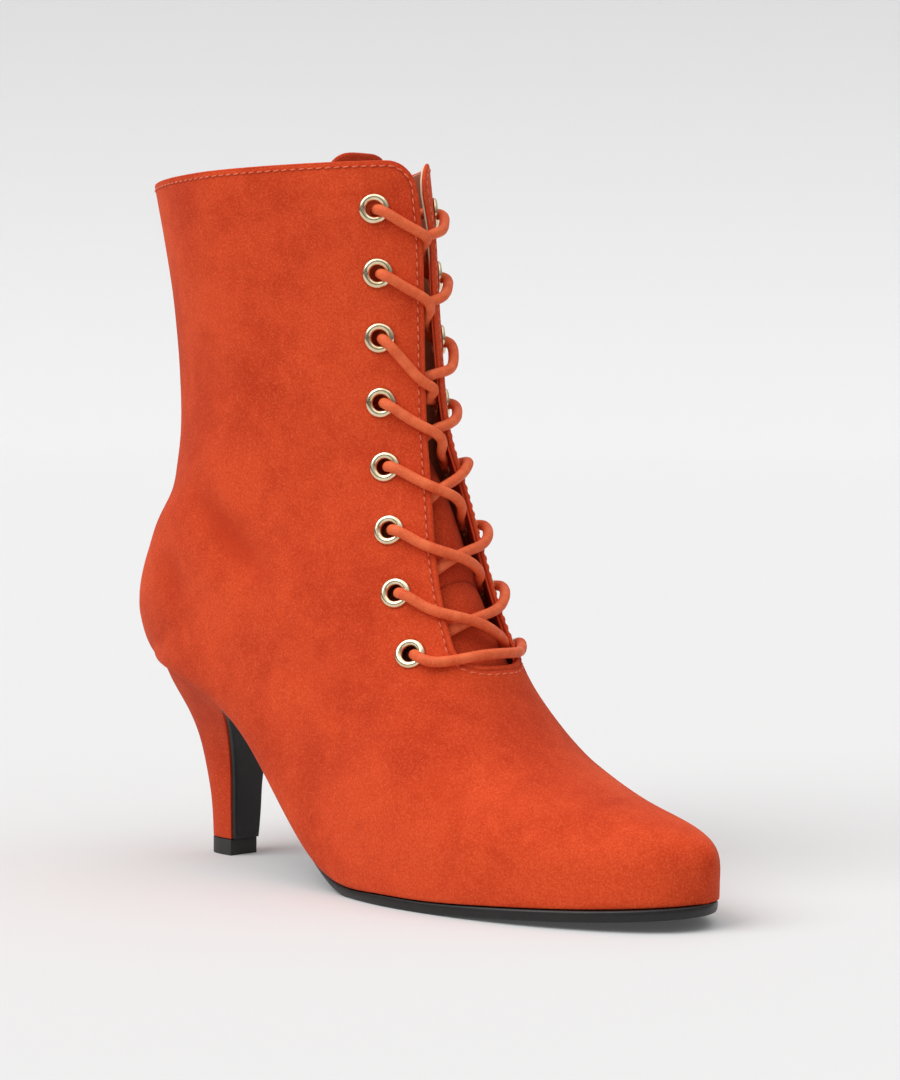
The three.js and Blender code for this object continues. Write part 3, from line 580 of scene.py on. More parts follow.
def upper_rows(share):
    """Stations of the rows: vamp, the throat's rounding, ankle and shaft, each with its share of
    the full count."""
    counts = [max(4, round(n * share)) for n in (VAMP_ROWS, ROUNDING_ROWS, ANKLE_ROWS, SHAFT_ROWS)]
    vamp = THROAT_FOOT * np.linspace(0, 1, counts[0] + 1)[:-1] ** 1.2
    rise = 1 - np.cos(np.linspace(0, math.pi / 2, counts[1] + 1)[:-1])
    foot = THROAT_FOOT + THROAT_ROUNDING
    ankle = np.linspace(foot, 1, counts[2] + 1)[:-1]
    shaft = np.linspace(1, 2, counts[3] + 1)
    return np.concatenate([vamp, THROAT_FOOT + THROAT_ROUNDING * rise, ankle, shaft])


def eased(points, quads, free):
    """The free points are laid anew where the sheet bends least: over them and their neighbours
    the difference between a point and the mean of those next to it is made as small as it can
    be, while all other points stay."""
    edges = neighbours(quads)
    near = free.copy()
    for _ in range(2):
        reached = near[edges].any(1)
        near[edges[reached]] = True
    place = np.cumsum(near) - 1
    first, second = place[edges[near[edges].all(1)]].T
    bend = np.zeros((near.sum(), near.sum()))
    bend[first, second] = bend[second, first] = -1.0
    bend /= np.maximum(-bend.sum(1, keepdims=True), 1)
    np.fill_diagonal(bend, 1.0)
    loose = free[near]
    bend = bend[(bend[:, loose] != 0).any(1)]
    held = bend[:, ~loose] @ points[near & ~free]
    points = points.copy()
    points[free] = np.linalg.solve(bend[:, loose].T @ bend[:, loose], -bend[:, loose].T @ held)
    return points


def softened(points, quads, shares, rounds):
    """Each point moves towards the mean of those next to it, by its share, many times over."""
    edges = neighbours(quads)
    edges = edges[(shares[edges] > 0).any(1)]
    count = np.maximum(np.bincount(edges.ravel(), minlength=len(points)), 1)[:, None]
    points = points.copy()
    for _ in range(rounds):
        total = np.zeros_like(points)
        np.add.at(total, edges[:, 0], points[edges[:, 1]])
        np.add.at(total, edges[:, 1], points[edges[:, 0]])
        points += shares[:, None] * (total / count - points)
    return points


def upper_sheet(share, columns, trim=0.0):
    """Both sides of the upper as one sheet. trim draws its edge back from collar and feather edge,
    as a lining's is. Under the heel seat the rows run together, so there the sheet
    is eased between the feather edge and what lies round it."""
    rows = upper_rows(share)
    across = np.linspace(0, 1, columns + 1) ** 1.15
    points, quads = [], []
    for number, side in enumerate(SIDES):
        station, over = np.meshgrid(rows, across, indexing="ij")
        flat = skin(station, over, side)
        reach = np.linalg.norm(flat - flat[:, :1], axis=-1)
        station = rounded(station, reach)
        station = station - trim / SHAFT_STATION * smoothstep(station, 1.8, 2)
        over = over * (1 - 0.02 * trim * smoothstep(station, 1.0, 0.9))
        in_seat = (station > SEAT_FROM) & (station < SEAT_UNTIL) & (over > SEAT_SHARE)
        soft = smoothstep(station, *SEAT_SOFT[:2]) * (1 - smoothstep(station, *SEAT_SOFT[2:]))
        soft = 0.7 * soft * smoothstep(over, *SEAT_SOFT_SHARE)
        columns_of = [skin(station, over, side), in_seat[..., None], soft[..., None]]
        points.append(np.concatenate(columns_of, -1).reshape(-1, 5))
        quads.append(grid_quads(len(rows), columns + 1, number * station.size, side > 0))
    points, quads = merged(np.concatenate(points), np.concatenate(quads))
    in_seat, soft, points = points[:, 3] > 0, points[:, 4], points[:, :3]
    border = border_of(points, quads)
    in_seat[border] = False
    soft[border] = 0
    points = eased(points, quads, in_seat)
    return softened(points, quads, soft, round(SEAT_ROUNDS * share**2)), quads


def shader(name):
    """A new material, with its node tree and its shader."""
    material = bpy.data.materials.new(name)
    material.use_nodes = True
    return material, material.node_tree, material.node_tree.nodes["Principled BSDF"]


def feed(tree, node, **inputs):
    """Sets a node's inputs, by name or as _number, each to a plain value or another socket."""
    for title, value in inputs.items():
        socket = node.inputs[int(title[1:]) if title[1:].isdigit() else title.replace("_", " ")]
        if isinstance(value, bpy.types.NodeSocket):
            tree.links.new(value, socket)
        else:
            socket.default_value = value
    return node


def add_node(tree, kind, settings=(), **inputs):
    """A node with its settings and its inputs."""
    node = tree.nodes.new(kind)
    for title, value in dict(settings).items():
        setattr(node, title, value)
    return feed(tree, node, **inputs)


def bumped(tree, height, strength, depth, **more):
    """A bump of a height pattern, as a normal."""
    node = add_node(tree, "ShaderNodeBump", Strength=strength, Distance=depth, Height=height, **more)
    return node.outputs[0]


def own_place(tree):
    """The place on the object, which stays with the piece."""
    return tree.nodes.new("ShaderNodeTexCoord").outputs["Object"]


def stored(tree, name):
    """A number kept with the mesh's points."""
    return add_node(tree, "ShaderNodeAttribute", {"attribute_name": name}).outputs["Fac"]


def effect(name, inputs, outputs):
    """An empty effect with named inputs, given as (kind, value), and named outputs."""
    tree = bpy.data.node_groups.new(name, "ShaderNodeTree")
    for title, (kind, value) in inputs.items():
        socket = tree.interface.new_socket(title, in_out="INPUT", socket_type=kind)
        socket.default_value = value
    for title, kind in outputs.items():
        tree.interface.new_socket(title, in_out="OUTPUT", socket_type=kind)
    return tree, tree.nodes.new("NodeGroupInput").outputs, tree.nodes.new("NodeGroupOutput").inputs


def placed(tree, group, **inputs):
    """An effect set into a material with its own values."""
    return add_node(tree, "ShaderNodeGroup", {"node_tree": group}, **inputs).outputs


def math_node(tree, operation, first, second=0.0, third=0.0):
    """One sum of up to three numbers or sockets."""
    node = add_node(tree, "ShaderNodeMath", {"operation": operation}, _0=first, _1=second, _2=third)
    return node.outputs[0]


def noise(tree, vector, scale, detail=2.0, roughness=0.5):
    """A cloud pattern of that many blots a metre."""
    return add_node(tree, "ShaderNodeTexNoise", Vector=vector, Scale=scale, Detail=detail,
                    Roughness=roughness).outputs["Fac"]


def ranged(tree, value, low, high, to_low=0.0, to_high=1.0):
    """A value's range stretched to another, and held at its ends."""
    return add_node(tree, "ShaderNodeMapRange", {"clamp": True}, _0=value, _1=low, _2=high,
                    _3=to_low, _4=to_high).outputs[0]


def mixed(tree, share, first, second):
    """Two colours mixed by a share."""
    node = add_node(tree, "ShaderNodeMix", {"data_type": "RGBA"}, _0=share, _6=first, _7=second)
    return node.outputs[2]


def colour(red, green, blue):
    """Linear colour of a display colour given in parts of 255."""
    parts = [part / 255 for part in (red, green, blue)]
    return tuple(p / 12.92 if p <= 0.04045 else ((p + 0.055) / 1.055) ** 2.4 for p in parts) + (1.0,)


def nap_effect():
    """Short suede nap: blots where it was brushed to and fro, a finer mottle and single fibres
    that catch the light. Gives a colour and a height for the bump."""
    tree, given, wanted = effect(
        "suede_nap",
        {"Ground": ("NodeSocketColor", (0.6, 0.1, 0.05, 1)),
         "Shade": ("NodeSocketColor", (0.4, 0.05, 0.02, 1)),
         "Bloom": ("NodeSocketColor", (0.8, 0.2, 0.1, 1)),
         "Blots": ("NodeSocketFloat", 30.0), "Grain": ("NodeSocketFloat", 2600.0)},
        {"Color": "NodeSocketColor", "Height": "NodeSocketFloat"})
    place = own_place(tree)
    blots = noise(tree, place, given["Blots"], 2.0, 0.5)
    mottle = noise(tree, place, math_node(tree, "MULTIPLY", given["Blots"], 6.0), 3.0, 0.55)
    grain = noise(tree, place, given["Grain"], 2.0, 0.6)
    fibres = noise(tree, place, math_node(tree, "MULTIPLY", given["Grain"], 0.62), 4.0, 0.8)
    both = math_node(tree, "MULTIPLY_ADD", mottle, 0.3, math_node(tree, "MULTIPLY", blots, 0.7))
    base = mixed(tree, ranged(tree, both, 0.38, 0.6), given["Shade"], given["Ground"])
    lit = math_node(tree, "MULTIPLY", ranged(tree, fibres, 0.5, 0.66), 0.5)
    base = mixed(tree, lit, base, given["Bloom"])
    dark = math_node(tree, "MULTIPLY", ranged(tree, fibres, 0.5, 0.34), 0.7)
    base = mixed(tree, dark, base, given["Shade"])
    tree.links.new(base, wanted["Color"])
    height = math_node(tree, "MULTIPLY_ADD", fibres, 0.6, math_node(tree, "MULTIPLY", grain, 0.4))
    tree.links.new(height, wanted["Height"])
    return tree


suede_nap = nap_effect()
UPPER_SUEDE = colour(214, 74, 37), colour(188, 55, 25), colour(236, 108, 66)
STITCH_INSET = 1.7


def suede(name, colours, seam, seam_half=0.55):
    """Suede of a ground, shade and bloom colour: the nap's colour and bump, a soft sheen, painted
    shade that darkens the nap in the creases by their stored depth, and a groove and darker
    line where a stored distance says that a seam runs."""
    material, tree, face = shader(name)
    ground, shade, bloom = colours
    nap = placed(tree, suede_nap, Ground=ground, Shade=shade, Bloom=bloom)
    # Painted shade: where the stored crease depth is large, the nap is mixed towards the shade colour.
    tint = mixed(tree, ranged(tree, stored(tree, "crease_shade"), 0.1, 1.8, 0.0, 0.7), nap["Color"], shade)
    groove = ranged(tree, math_node(tree, "ABSOLUTE", stored(tree, seam)), 0.0, seam_half, 1.0, 0.0)
    tint = mixed(tree, math_node(tree, "MULTIPLY", groove, 0.6), tint, shade)
    sunk = add_node(tree, "ShaderNodeBump", {"invert": True}, Strength=0.8, Distance=0.0006,
                    Height=groove)
    feed(tree, face, Base_Color=tint,
         Normal=bumped(tree, nap["Height"], 0.5, 0.0004, Normal=sunk.outputs[0]),
         Roughness=0.92, Specular_IOR_Level=0.1, Sheen_Weight=0.16, Sheen_Roughness=0.45,
         Sheen_Tint=colour(255, 170, 140))
    return material


SUEDE_THICKNESS = 1.15
rim_points = rim_path()
upper_points, upper_quads = upper_sheet(1.0, SUEDE_COLUMNS)
upper_rim = distance_to(upper_points, rim_points)
upper_out = sheet_normals(upper_points, upper_quads)
upper_points = upper_points + upper_out * relief(upper_points, upper_rim)[:, None]
flat_upper = (upper_points.copy(), upper_quads.copy())
all_places = np.concatenate([eyelet_at[side] for side in SIDES])
all_axes = np.concatenate([eyelet_axis[side] for side in SIDES])
upper_points, upper_quads = punched(upper_points, upper_quads, all_places, all_axes, HOLE_RADIUS)
upper_seam = distance_to(upper_points, rim_points) - STITCH_INSET
wall_points, wall_quads, _ = shell(upper_points, upper_quads, SUEDE_THICKNESS)
wall_seam = np.full(len(wall_points), 9.0)
wall_seam[:len(upper_points)] = upper_seam
# Painted shade: each point's crease depth, kept so that the suede's colour is darkened in the creases.
wall_crease_shade = np.maximum(0, folds(wall_points))
upper = mesh_piece("upper_suede", wall_points, wall_quads,
                   suede("suede_upper", UPPER_SUEDE, "stitch_line"), "suede",
                   {"stitch_line": wall_seam, "crease_shade": wall_crease_shade})
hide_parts("upper")


# Lining
# A thin tan lining glued and stitched inside the suede, cut a little short of its edge. Its raw
# edge shows pale near the top of the collar.
LINING_THICKNESS = 0.75
LINING_GAP = 0.08
LINING_TRIM = 0.5
LINING_TAN = colour(176, 96, 62)
LINING_SHADE = colour(150, 78, 48)
LINING_EDGE = colour(232, 205, 178)
PALE_EDGE_REACH = 26.0
STAY_COLOUR = colour(212, 74, 38)
STAY_WIDTH = 20.0


def lining_material():
    """Smooth tan lining with a faint grain, paler where it was cut, and a strip of the outside's
    colour that backs the facings."""
    material, tree, face = shader("lining_tan")
    place = own_place(tree)
    cloud = ranged(tree, noise(tree, place, 60.0, 2.0, 0.5), 0.35, 0.65)
    base = mixed(tree, stored(tree, "stay"), mixed(tree, cloud, LINING_SHADE, LINING_TAN), STAY_COLOUR)
    feed(tree, face, Base_Color=mixed(tree, stored(tree, "cut"), base, LINING_EDGE),
         Normal=bumped(tree, noise(tree, place, 900.0, 3.0, 0.6), 0.3, 0.0002),
         Roughness=0.7, Specular_IOR_Level=0.3)
    return material


lining_points, lining_quads = upper_sheet(LINING_SHARE, LINING_COLUMNS, LINING_TRIM)
lining_relief = relief(lining_points, distance_to(lining_points, rim_points))
lining_out = sheet_normals(lining_points, lining_quads)
lining_points = lining_points + lining_out * (lining_relief - SUEDE_THICKNESS - LINING_GAP)[:, None]
lining_points, lining_quads = punched(lining_points, lining_quads, all_places, all_axes, HOLE_RADIUS)
lining_points, lining_quads, lining_depth = shell(lining_points, lining_quads, LINING_THICKNESS)
near_collar = smoothstep(lining_points[:, 2] - COLLAR_HEIGHT, -PALE_EDGE_REACH - 8, -PALE_EDGE_REACH)
near_rim = 1 - smoothstep(distance_to(lining_points, rim_points), STAY_WIDTH - 3, STAY_WIDTH)
mesh_piece("lining", lining_points, lining_quads, lining_material(), "lining",
           {"cut": near_collar * ((lining_depth > 0) & (lining_depth < 1)),
            "stay": near_rim * (1 - near_collar)})


# Tongue
# A suede tongue, lined, its top edge turned over and stitched. It is sewn to the vamp at the
# foot of the throat, has one seam across it, and leans back into the shaft above the ankle.
TONGUE_HALF_WIDTH = 25.0
TONGUE_LEAN = 20.0
TONGUE_SINK = 1.8
TONGUE_PLAY = 0.62
TONGUE_CROWN = 2.2
TONGUE_RISE = 4.0
TONGUE_ROUNDING = 8.3
TONGUE_THICKNESS = 2.0
TONGUE = np.array([
    # station, half width, lean, sink
    [0.42, 0.80, 0.00, 0.00],
    [0.60, 0.96, 0.00, 0.85],
    [0.80, 0.94, 0.08, 1.00],
    [1.00, 0.90, 0.28, 1.00],
    [1.35, 0.84, 0.64, 1.00],
    [1.70, 0.80, 0.88, 1.00],
    [2.10, 0.76, 1.00, 1.00],
])
TONGUE_SUEDE = colour(204, 68, 34), colour(176, 48, 22), colour(228, 104, 66)
TONGUE_SEAM = 0.624
TONGUE_ROWS, TONGUE_COLUMNS = 220, 40
TONGUE_PUFF = 1.0
TONGUE_PUFF_REACH = 0.035
tongue_half = curve_through(TONGUE[:, 0], TONGUE[:, 1])
tongue_lean = curve_through(TONGUE[:, 0], TONGUE[:, 2], True)
tongue_sink = curve_through(TONGUE[:, 0], TONGUE[:, 3], True)


def tongue_point(station, over):
    """The tongue's outside: under the facings by a depth, and drawn back by its lean. Either side
    of its seam it puffs out like a bell cut by the stitching."""
    reach = TONGUE_HALF_WIDTH * tongue_half(station) * over
    back = unit(plantar(station) - dorsal(station))
    lean = np.clip(tongue_lean(station), 0, 1)
    crown = section_crown(station) * (1 - lean) + TONGUE_CROWN * lean
    sink = TONGUE_SINK * np.clip(tongue_sink(station), 0, 1)
    depth = WALL + CLEARANCE + TONGUE_PLAY + sink
    beside = (station - TONGUE_SEAM) / TONGUE_PUFF_REACH
    puff = TONGUE_PUFF * np.abs(beside) * np.exp(0.5 - beside**2) * (1 - over**2)
    point = lifted(station, reach, puff - depth, crown)
    return point + back * (TONGUE_LEAN * lean)[..., None]


over = np.linspace(-1, 1, TONGUE_COLUMNS + 1)
share = np.linspace(0, 1, TONGUE_ROWS + 1)
tongue_top = 2 + (TONGUE_RISE - TONGUE_ROUNDING * over**4) / SHAFT_STATION
tongue_station = TONGUE[0, 0] + (tongue_top - TONGUE[0, 0]) * share[:, None]
tongue_grid = tongue_point(tongue_station, np.broadcast_to(over, tongue_station.shape))
tongue_points = tongue_grid.reshape(-1, 3)
tongue_quads = grid_quads(len(share), len(over), 0, True)
tongue_points, tongue_quads, _ = shell(tongue_points, tongue_quads, TONGUE_THICKNESS, 4)
tongue_seam = np.full(len(tongue_points), 9.0)
seam_gap = (tongue_station - TONGUE_SEAM) * (COLLAR_HEIGHT - SEAT_HEIGHT)
tongue_seam[:tongue_station.size] = seam_gap.ravel()
tongue = mesh_piece(
    "tongue_suede", tongue_points, tongue_quads,
    suede("suede_tongue", TONGUE_SUEDE, "cross_seam"), "tongue_suede", {"cross_seam": tongue_seam})
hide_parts("tongue")


# Insole
# A sheet of the lining's leather over a thin board, from toe to heel seat.
INSOLE_INSET = 1.6
INSOLE_THICKNESS = 2.0


def outline_point(station, side, out):
    """The feather edge's outline seen from above, moved out square to itself."""
    station = np.asarray(station, float)
    side = np.broadcast_to(side, station.shape)
    before, after = np.maximum(station - 0.004, 0), np.minimum(station + 0.004, 1)
    place = [np.stack([LENGTH * along_of(s), side * edge_half(s, side)], -1)
             for s in (before, station, after)]
    run = place[2] - place[0]
    square = unit(np.stack([run[..., 1], -run[..., 0]], -1) * np.where(side < 0, -1, 1)[..., None])
    square[station <= 0] = (1, 0)
    square[station >= 1] = (-1, 0)
    return place[1] + square * np.asarray(out)[..., None]


def last_bottom(x):
    """Height of the last's underside at a place along the foot."""
    return SEAT_HEIGHT * edge_lift(station_of(x / LENGTH))


INSOLE_ROWS, INSOLE_COLUMNS = 131, 31
insole_station = np.linspace(0, 1, INSOLE_ROWS)[:, None] * np.ones(INSOLE_COLUMNS)
insole_over = np.linspace(-1, 1, INSOLE_COLUMNS) * np.ones_like(insole_station)
insole_ends = [outline_point(insole_station, side, np.array(-(WALL + INSOLE_INSET))) for side in SIDES]
for side, end in zip(SIDES, insole_ends):
    end[..., 1] = side * np.maximum(0, side * end[..., 1])
insole_flat = (insole_ends[0] * (1 - insole_over[..., None])
               + insole_ends[1] * (1 + insole_over[..., None])) / 2
insole_rise = INSOLE_THICKNESS + 0.8 * insole_over**4
insole_height = last_bottom(insole_flat[..., 0]) + insole_rise
insole_points = np.concatenate([insole_flat, insole_height[..., None]], -1)
insole_points, insole_quads = merged(insole_points.reshape(-1, 3), grid_quads(131, 31, 0, True))
insole_points, insole_quads, _ = shell(insole_points, insole_quads, INSOLE_THICKNESS - 0.1)
insole = mesh_piece("insole_sheet", insole_points, insole_quads, lining_material(), "lining",
                    {"cut": np.zeros(len(insole_points))})
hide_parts("insole")


# Heel
# A moulded block under the heel seat, covered with the upper's suede, which is drawn tight round
# its sides and turned in behind the black flap on its breast.
TOP_PIECE_HEIGHT = 5.5
HEEL_TIP_LENGTH = 13.2
HEEL_TIP_WIDTH = 11.6
BREAST_TOP = 49.0
ARCH_PLAY = 0.15
WAIST_FROM = 0.46
WAIST_UNTIL = 0.62
HEEL_ROUNDING = 0.0005
SHARP_ANGLE = 50
HEEL_ROWS, HEEL_COLUMNS = 70, 36
HEEL_SUEDE = colour(200, 66, 34), colour(176, 48, 23), colour(228, 102, 66)
SEAT_SEAM_HALF = 1.3
HEEL_FLARE = np.array([
    # rise, back, front
    [0.00, 0.00, 0.00],
    [0.22, 0.05, 0.035],
    [0.40, 0.18, 0.055],
    [0.57, 0.34, 0.13],
    [0.74, 0.61, 0.33],
    [0.90, 0.92, 0.66],
    [1.00, 1.00, 1.00],
])
flare_back = curve_through(HEEL_FLARE[:, 0], HEEL_FLARE[:, 1])
flare_front = curve_through(HEEL_FLARE[:, 0], HEEL_FLARE[:, 2])
breast_station = station_of(BREAST_TOP / LENGTH)
heel_foot = TOP_PIECE_HEIGHT + CLEARANCE


def waist_share(x):
    """How far the sole has gone over from forepart to waist at a place along the foot."""
    return smoothstep(1 - x / LENGTH, WAIST_FROM, WAIST_UNTIL)


def sole_top(x):
    """Upper face of sole and heel: the last's underside less a clearance square to its slope."""
    slope = (last_bottom(x + 1) - last_bottom(x - 1)) / 2
    return last_bottom(x) - (CLEARANCE + ARCH_PLAY * waist_share(x)) * np.hypot(1, slope)


def foot_outline(share, side):
    """The small D at the heel's foot: straight behind the breast, then a round back."""
    straight = HEEL_TIP_LENGTH * 0.25
    turn = share * math.pi / 2
    x = (HEEL_TIP_BREAST - straight * np.minimum(1, share * 6)
         - (HEEL_TIP_LENGTH - straight) * np.sin(turn))
    y = side * HEEL_TIP_WIDTH / 2 * np.clip(np.cos(turn), 0, 1) ** 0.8
    return np.stack([x, y], -1)


def heel_point(share, side, rise):
    """The heel's side: share runs from the breast to the middle of the back, and each height
    opens from the D below to the feather edge above by the flare of back and front."""
    share, side, rise = (a.astype(float) for a in np.broadcast_arrays(share, side, rise))
    station = breast_station + (1 - breast_station) * share
    seat = np.stack([LENGTH * along_of(station), side * edge_half(station, side)], -1)
    to_back = share**0.7
    opened = (flare_front(rise) * (1 - to_back) + flare_back(rise) * to_back)[..., None]
    flat = foot_outline(share, side) * (1 - opened) + seat * opened
    height = heel_foot + (sole_top(seat[..., 0]) - heel_foot) * rise
    return np.concatenate([flat, height[..., None]], -1)


def ring_of(outer, inner, breast_columns):
    """A closed ring from the outer side's points, the inner side's in return and a straight
    breast between the two corners."""
    between = np.linspace(0, 1, breast_columns + 1)[1:-1, None]
    breast = inner[..., :1, :] * (1 - between) + outer[..., :1, :] * between
    return np.concatenate([outer, inner[..., -2::-1, :], breast], -2)


def bevelled(piece, width):
    """Rounds a piece's sharp edges."""
    finish = piece.modifiers.new("rounded_edges", "BEVEL")
    finish.width = width
    finish.segments = 3
    finish.limit_method = "ANGLE"
    finish.angle_limit = math.radians(SHARP_ANGLE)


def capped(rings, outer, inner, columns):
    """A closed body from rings stacked upwards, with a flat grid across its foot and its top,
    whose sides are the first and last rows of the outer and inner points."""
    height, width = rings.shape[:2]
    points = [rings.reshape(-1, 3)]
    quads = [faces_between(closed(np.arange(height * width).reshape(height, width)))]
    between = np.linspace(0, 1, columns + 1)[:, None]
    for row, turned in ((0, False), (-1, True)):
        cap = outer[row][:, None] * (1 - between) + inner[row][:, None] * between
        quads.append(grid_quads(*cap.shape[:2], sum(len(p) for p in points), turned))
        points.append(cap.reshape(-1, 3))
    return merged(np.concatenate(points), np.concatenate(quads))


heel_rise = np.linspace(0, 1, HEEL_ROWS + 1)[:, None]
heel_share = np.linspace(0, 1, HEEL_COLUMNS + 1)
heel_sides = [heel_point(heel_share, side, heel_rise) for side in SIDES]
heel_points, heel_quads = capped(ring_of(*heel_sides, 10), *heel_sides, 10)
heel = mesh_piece("heel_suede", heel_points, heel_quads,
                  suede("suede_heel", HEEL_SUEDE, "seat_seam", SEAT_SEAM_HALF), "heel_suede",
                  {"seat_seam": sole_top(heel_points[:, 0]) - heel_points[:, 2]})
bevelled(heel, HEEL_ROUNDING)
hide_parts("heel")


# Outsole
# A thin black moulded unit: full under the forepart, slim in the waist, and drawn down the
# heel's breast as a flap. Its edge is buffed and has a soft gloss.
SOLE_EDGE = 0.8
WAIST_EDGE = 0.4
SOLE_BEVEL = 0.5
SOLE_COLUMNS, SOLE_ROWS, FLAP_ROWS = 24, 180, 60
SOLE_THICKNESS = 3.5
WAIST_THICKNESS = 2.2
FLAP_THICKNESS = 1.6
FLAP_INSET = 0.4
DUST = colour(70, 66, 66)
SOLE_EDGE_PROFILE = np.array([
    # inset, bevel, depth
    [0.70, 0.0, 0.00],
    [0.20, 0.0, 0.03],
    [0.00, 0.0, 0.16],
    [-0.05, 0.0, 0.45],
    [0.00, 0.3, 0.75],
    [0.10, 0.7, 0.92],
    [0.70, 1.0, 1.00],
])


def black_material(name, tint, roughness, grain_height):
    """Black moulded rubber or heel covering: a fine even grain and a little dust in it."""
    material, tree, face = shader(name)
    place = own_place(tree)
    grain = noise(tree, place, 1800.0, 2.0, 0.6)
    dust = ranged(tree, noise(tree, place, 120.0, 4.0, 0.65), 0.45, 0.75)
    worn = math_node(tree, "MULTIPLY", dust, 0.15)
    feed(tree, face, Base_Color=mixed(tree, worn, tint, DUST),
         Roughness=ranged(tree, grain, 0.3, 0.7, roughness - 0.06, roughness + 0.08),
         Normal=bumped(tree, grain, grain_height, 0.0001), Specular_IOR_Level=0.5)
    return material


sole_end = station_of((BREAST_TOP + CLEARANCE) / LENGTH)
sole_station = np.linspace(0, 1, SOLE_ROWS + 1) * sole_end


def sole_half(side):
    """One side's half of the sole's section at every row, from the middle of its upper face
    round the edge to the middle of its underside, and on down the breast."""
    columns = []
    waist = waist_share(LENGTH * along_of(sole_station))
    out = SOLE_EDGE + (WAIST_EDGE - SOLE_EDGE) * waist
    thick = SOLE_THICKNESS + (WAIST_THICKNESS - SOLE_THICKNESS) * waist
    slim = 1 - 0.45 * waist
    for inset, bevel, depth in SOLE_EDGE_PROFILE:
        flat = outline_point(sole_station, side, out - inset * slim - bevel * SOLE_BEVEL * (1 + waist))
        top = sole_top(flat[..., 0])
        low = np.maximum(0, top - thick)
        forward = np.where(sole_station >= sole_end, FLAP_THICKNESS * depth, 0)
        columns.append(np.stack([flat[..., 0] + forward, flat[..., 1], top + (low - top) * depth], -1))
    rise = np.linspace(0.93, 0.0, FLAP_ROWS)
    edge = heel_point(0.0, 1.0, rise)
    flap = []
    for inset, bevel, depth in SOLE_EDGE_PROFILE:
        half = edge[:, 1] - FLAP_INSET - (inset + bevel * SOLE_BEVEL) * 0.5
        front = edge[:, 0] + CLEARANCE + FLAP_THICKNESS * depth
        flap.append(np.stack([front, side * half, edge[:, 2]], -1))
    return np.concatenate([np.stack(columns, 1), np.stack(flap, 1)])


def filled(first, second, columns):
    """A straight stretch of columns between two edges, without the edges themselves."""
    between = np.linspace(0, 1, columns + 1)[1:-1, None]
    return first[:, None] * (1 - between) + second[:, None] * between


outer_half, inner_half = sole_half(-1.0), sole_half(1.0)
sole_rings = np.concatenate([
    outer_half, filled(outer_half[:, -1], inner_half[:, -1], SOLE_COLUMNS),
    inner_half[:, ::-1], filled(inner_half[:, 0], outer_half[:, 0], SOLE_COLUMNS)], 1)
sole_count = sole_rings[..., 0].size
sole_quads = faces_between(closed(np.arange(sole_count).reshape(sole_rings.shape[:2])), True)
ends = np.linspace(0, 1, SOLE_COLUMNS + 1)[:, None]
flap_end = outer_half[-1][:, None] * (1 - ends) + inner_half[-1][:, None] * ends
sole_points, sole_quads = merged(
    np.concatenate([sole_rings.reshape(-1, 3), flap_end.reshape(-1, 3)]),
    np.concatenate([sole_quads, grid_quads(*flap_end.shape[:2], sole_count)]))
outsole = mesh_piece("outsole_unit", sole_points, sole_quads,
                     black_material("sole_black", colour(9, 8, 8), 0.42, 0.2), "sole")
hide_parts("outsole")


# Top piece
# The hard rubber D nailed under the heel, a trace wider than the cover above it.
TOP_PIECE_BEVEL = 0.0003
tip_rise = np.array([0.0, 0.5, 1.0])[:, None, None] * (TOP_PIECE_HEIGHT - 0.1)
tip_sides = [np.concatenate([
    np.broadcast_to(foot_outline(heel_share, side), (3, len(heel_share), 2)),
    np.broadcast_to(tip_rise, (3, len(heel_share), 1))], -1) for side in SIDES]
tip_points, tip_quads = capped(ring_of(*tip_sides, 8), *tip_sides, 8)
top_piece = mesh_piece("top_piece_rubber", tip_points, tip_quads,
                       black_material("top_piece_black", colour(46, 43, 43), 0.6, 0.5), "top_piece")
bevelled(top_piece, TOP_PIECE_BEVEL)
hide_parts("top_piece")


# Eyelets
# Rolled flanges of thin plated metal with a tube through the wall, clinched on the lining.
EYELET_CREST = 1.45
EYELET_SEAT = 0.3
EYELET_SIDES = 48
EYELET_TUBE = 3.0
CLINCH_RADIUS = 4.5
CLINCH_DEPTH = 2.45


def eyelet_profile():
    """Radius and height round the metal's section: up the bore, over the flange as half an
    ellipse, back under it and down the tube to the clinch."""
    bore, rim = EYELET_BORE / 2, EYELET_FLANGE / 2
    middle, reach = (bore + rim) / 2, (rim - bore) / 2
    arc = np.linspace(0, math.pi, 17)
    roll = np.stack([middle - reach * np.cos(arc),
                     EYELET_SEAT + (EYELET_CREST - EYELET_SEAT) * np.sin(arc)], -1)
    back = np.linspace(0, math.pi, 7)
    clinch = np.stack([
        EYELET_TUBE + (CLINCH_RADIUS - EYELET_TUBE) * (1 - np.abs(back - math.pi / 2) / (math.pi / 2)),
        -CLINCH_DEPTH - 0.3 * np.sin(back / 2) * np.ones_like(back)], -1)
    under = [[rim - 0.35, EYELET_SEAT - 0.15], [EYELET_TUBE + 0.3, EYELET_SEAT - 0.1],
             [EYELET_TUBE, 0.0]]
    return np.concatenate([roll, under, clinch, [[bore, -CLINCH_DEPTH - 0.3]]])


def turned_ring(place, axis, profile):
    """A profile turned round an axis through a place, as a closed grid."""
    aside = unit(np.cross(axis, [0.0, 0.0, 1.0]))
    across = np.cross(axis, aside)
    angle = np.linspace(0, 2 * math.pi, EYELET_SIDES + 1)[:-1, None, None]
    spoke = aside * np.cos(angle) + across * np.sin(angle)
    points = place + spoke * profile[:, 0, None] + axis * profile[:, 1, None]
    numbers = np.arange(points[..., 0].size).reshape(points.shape[:2])
    return points.reshape(-1, 3), faces_between(closed(np.concatenate([numbers, numbers[:1]])))


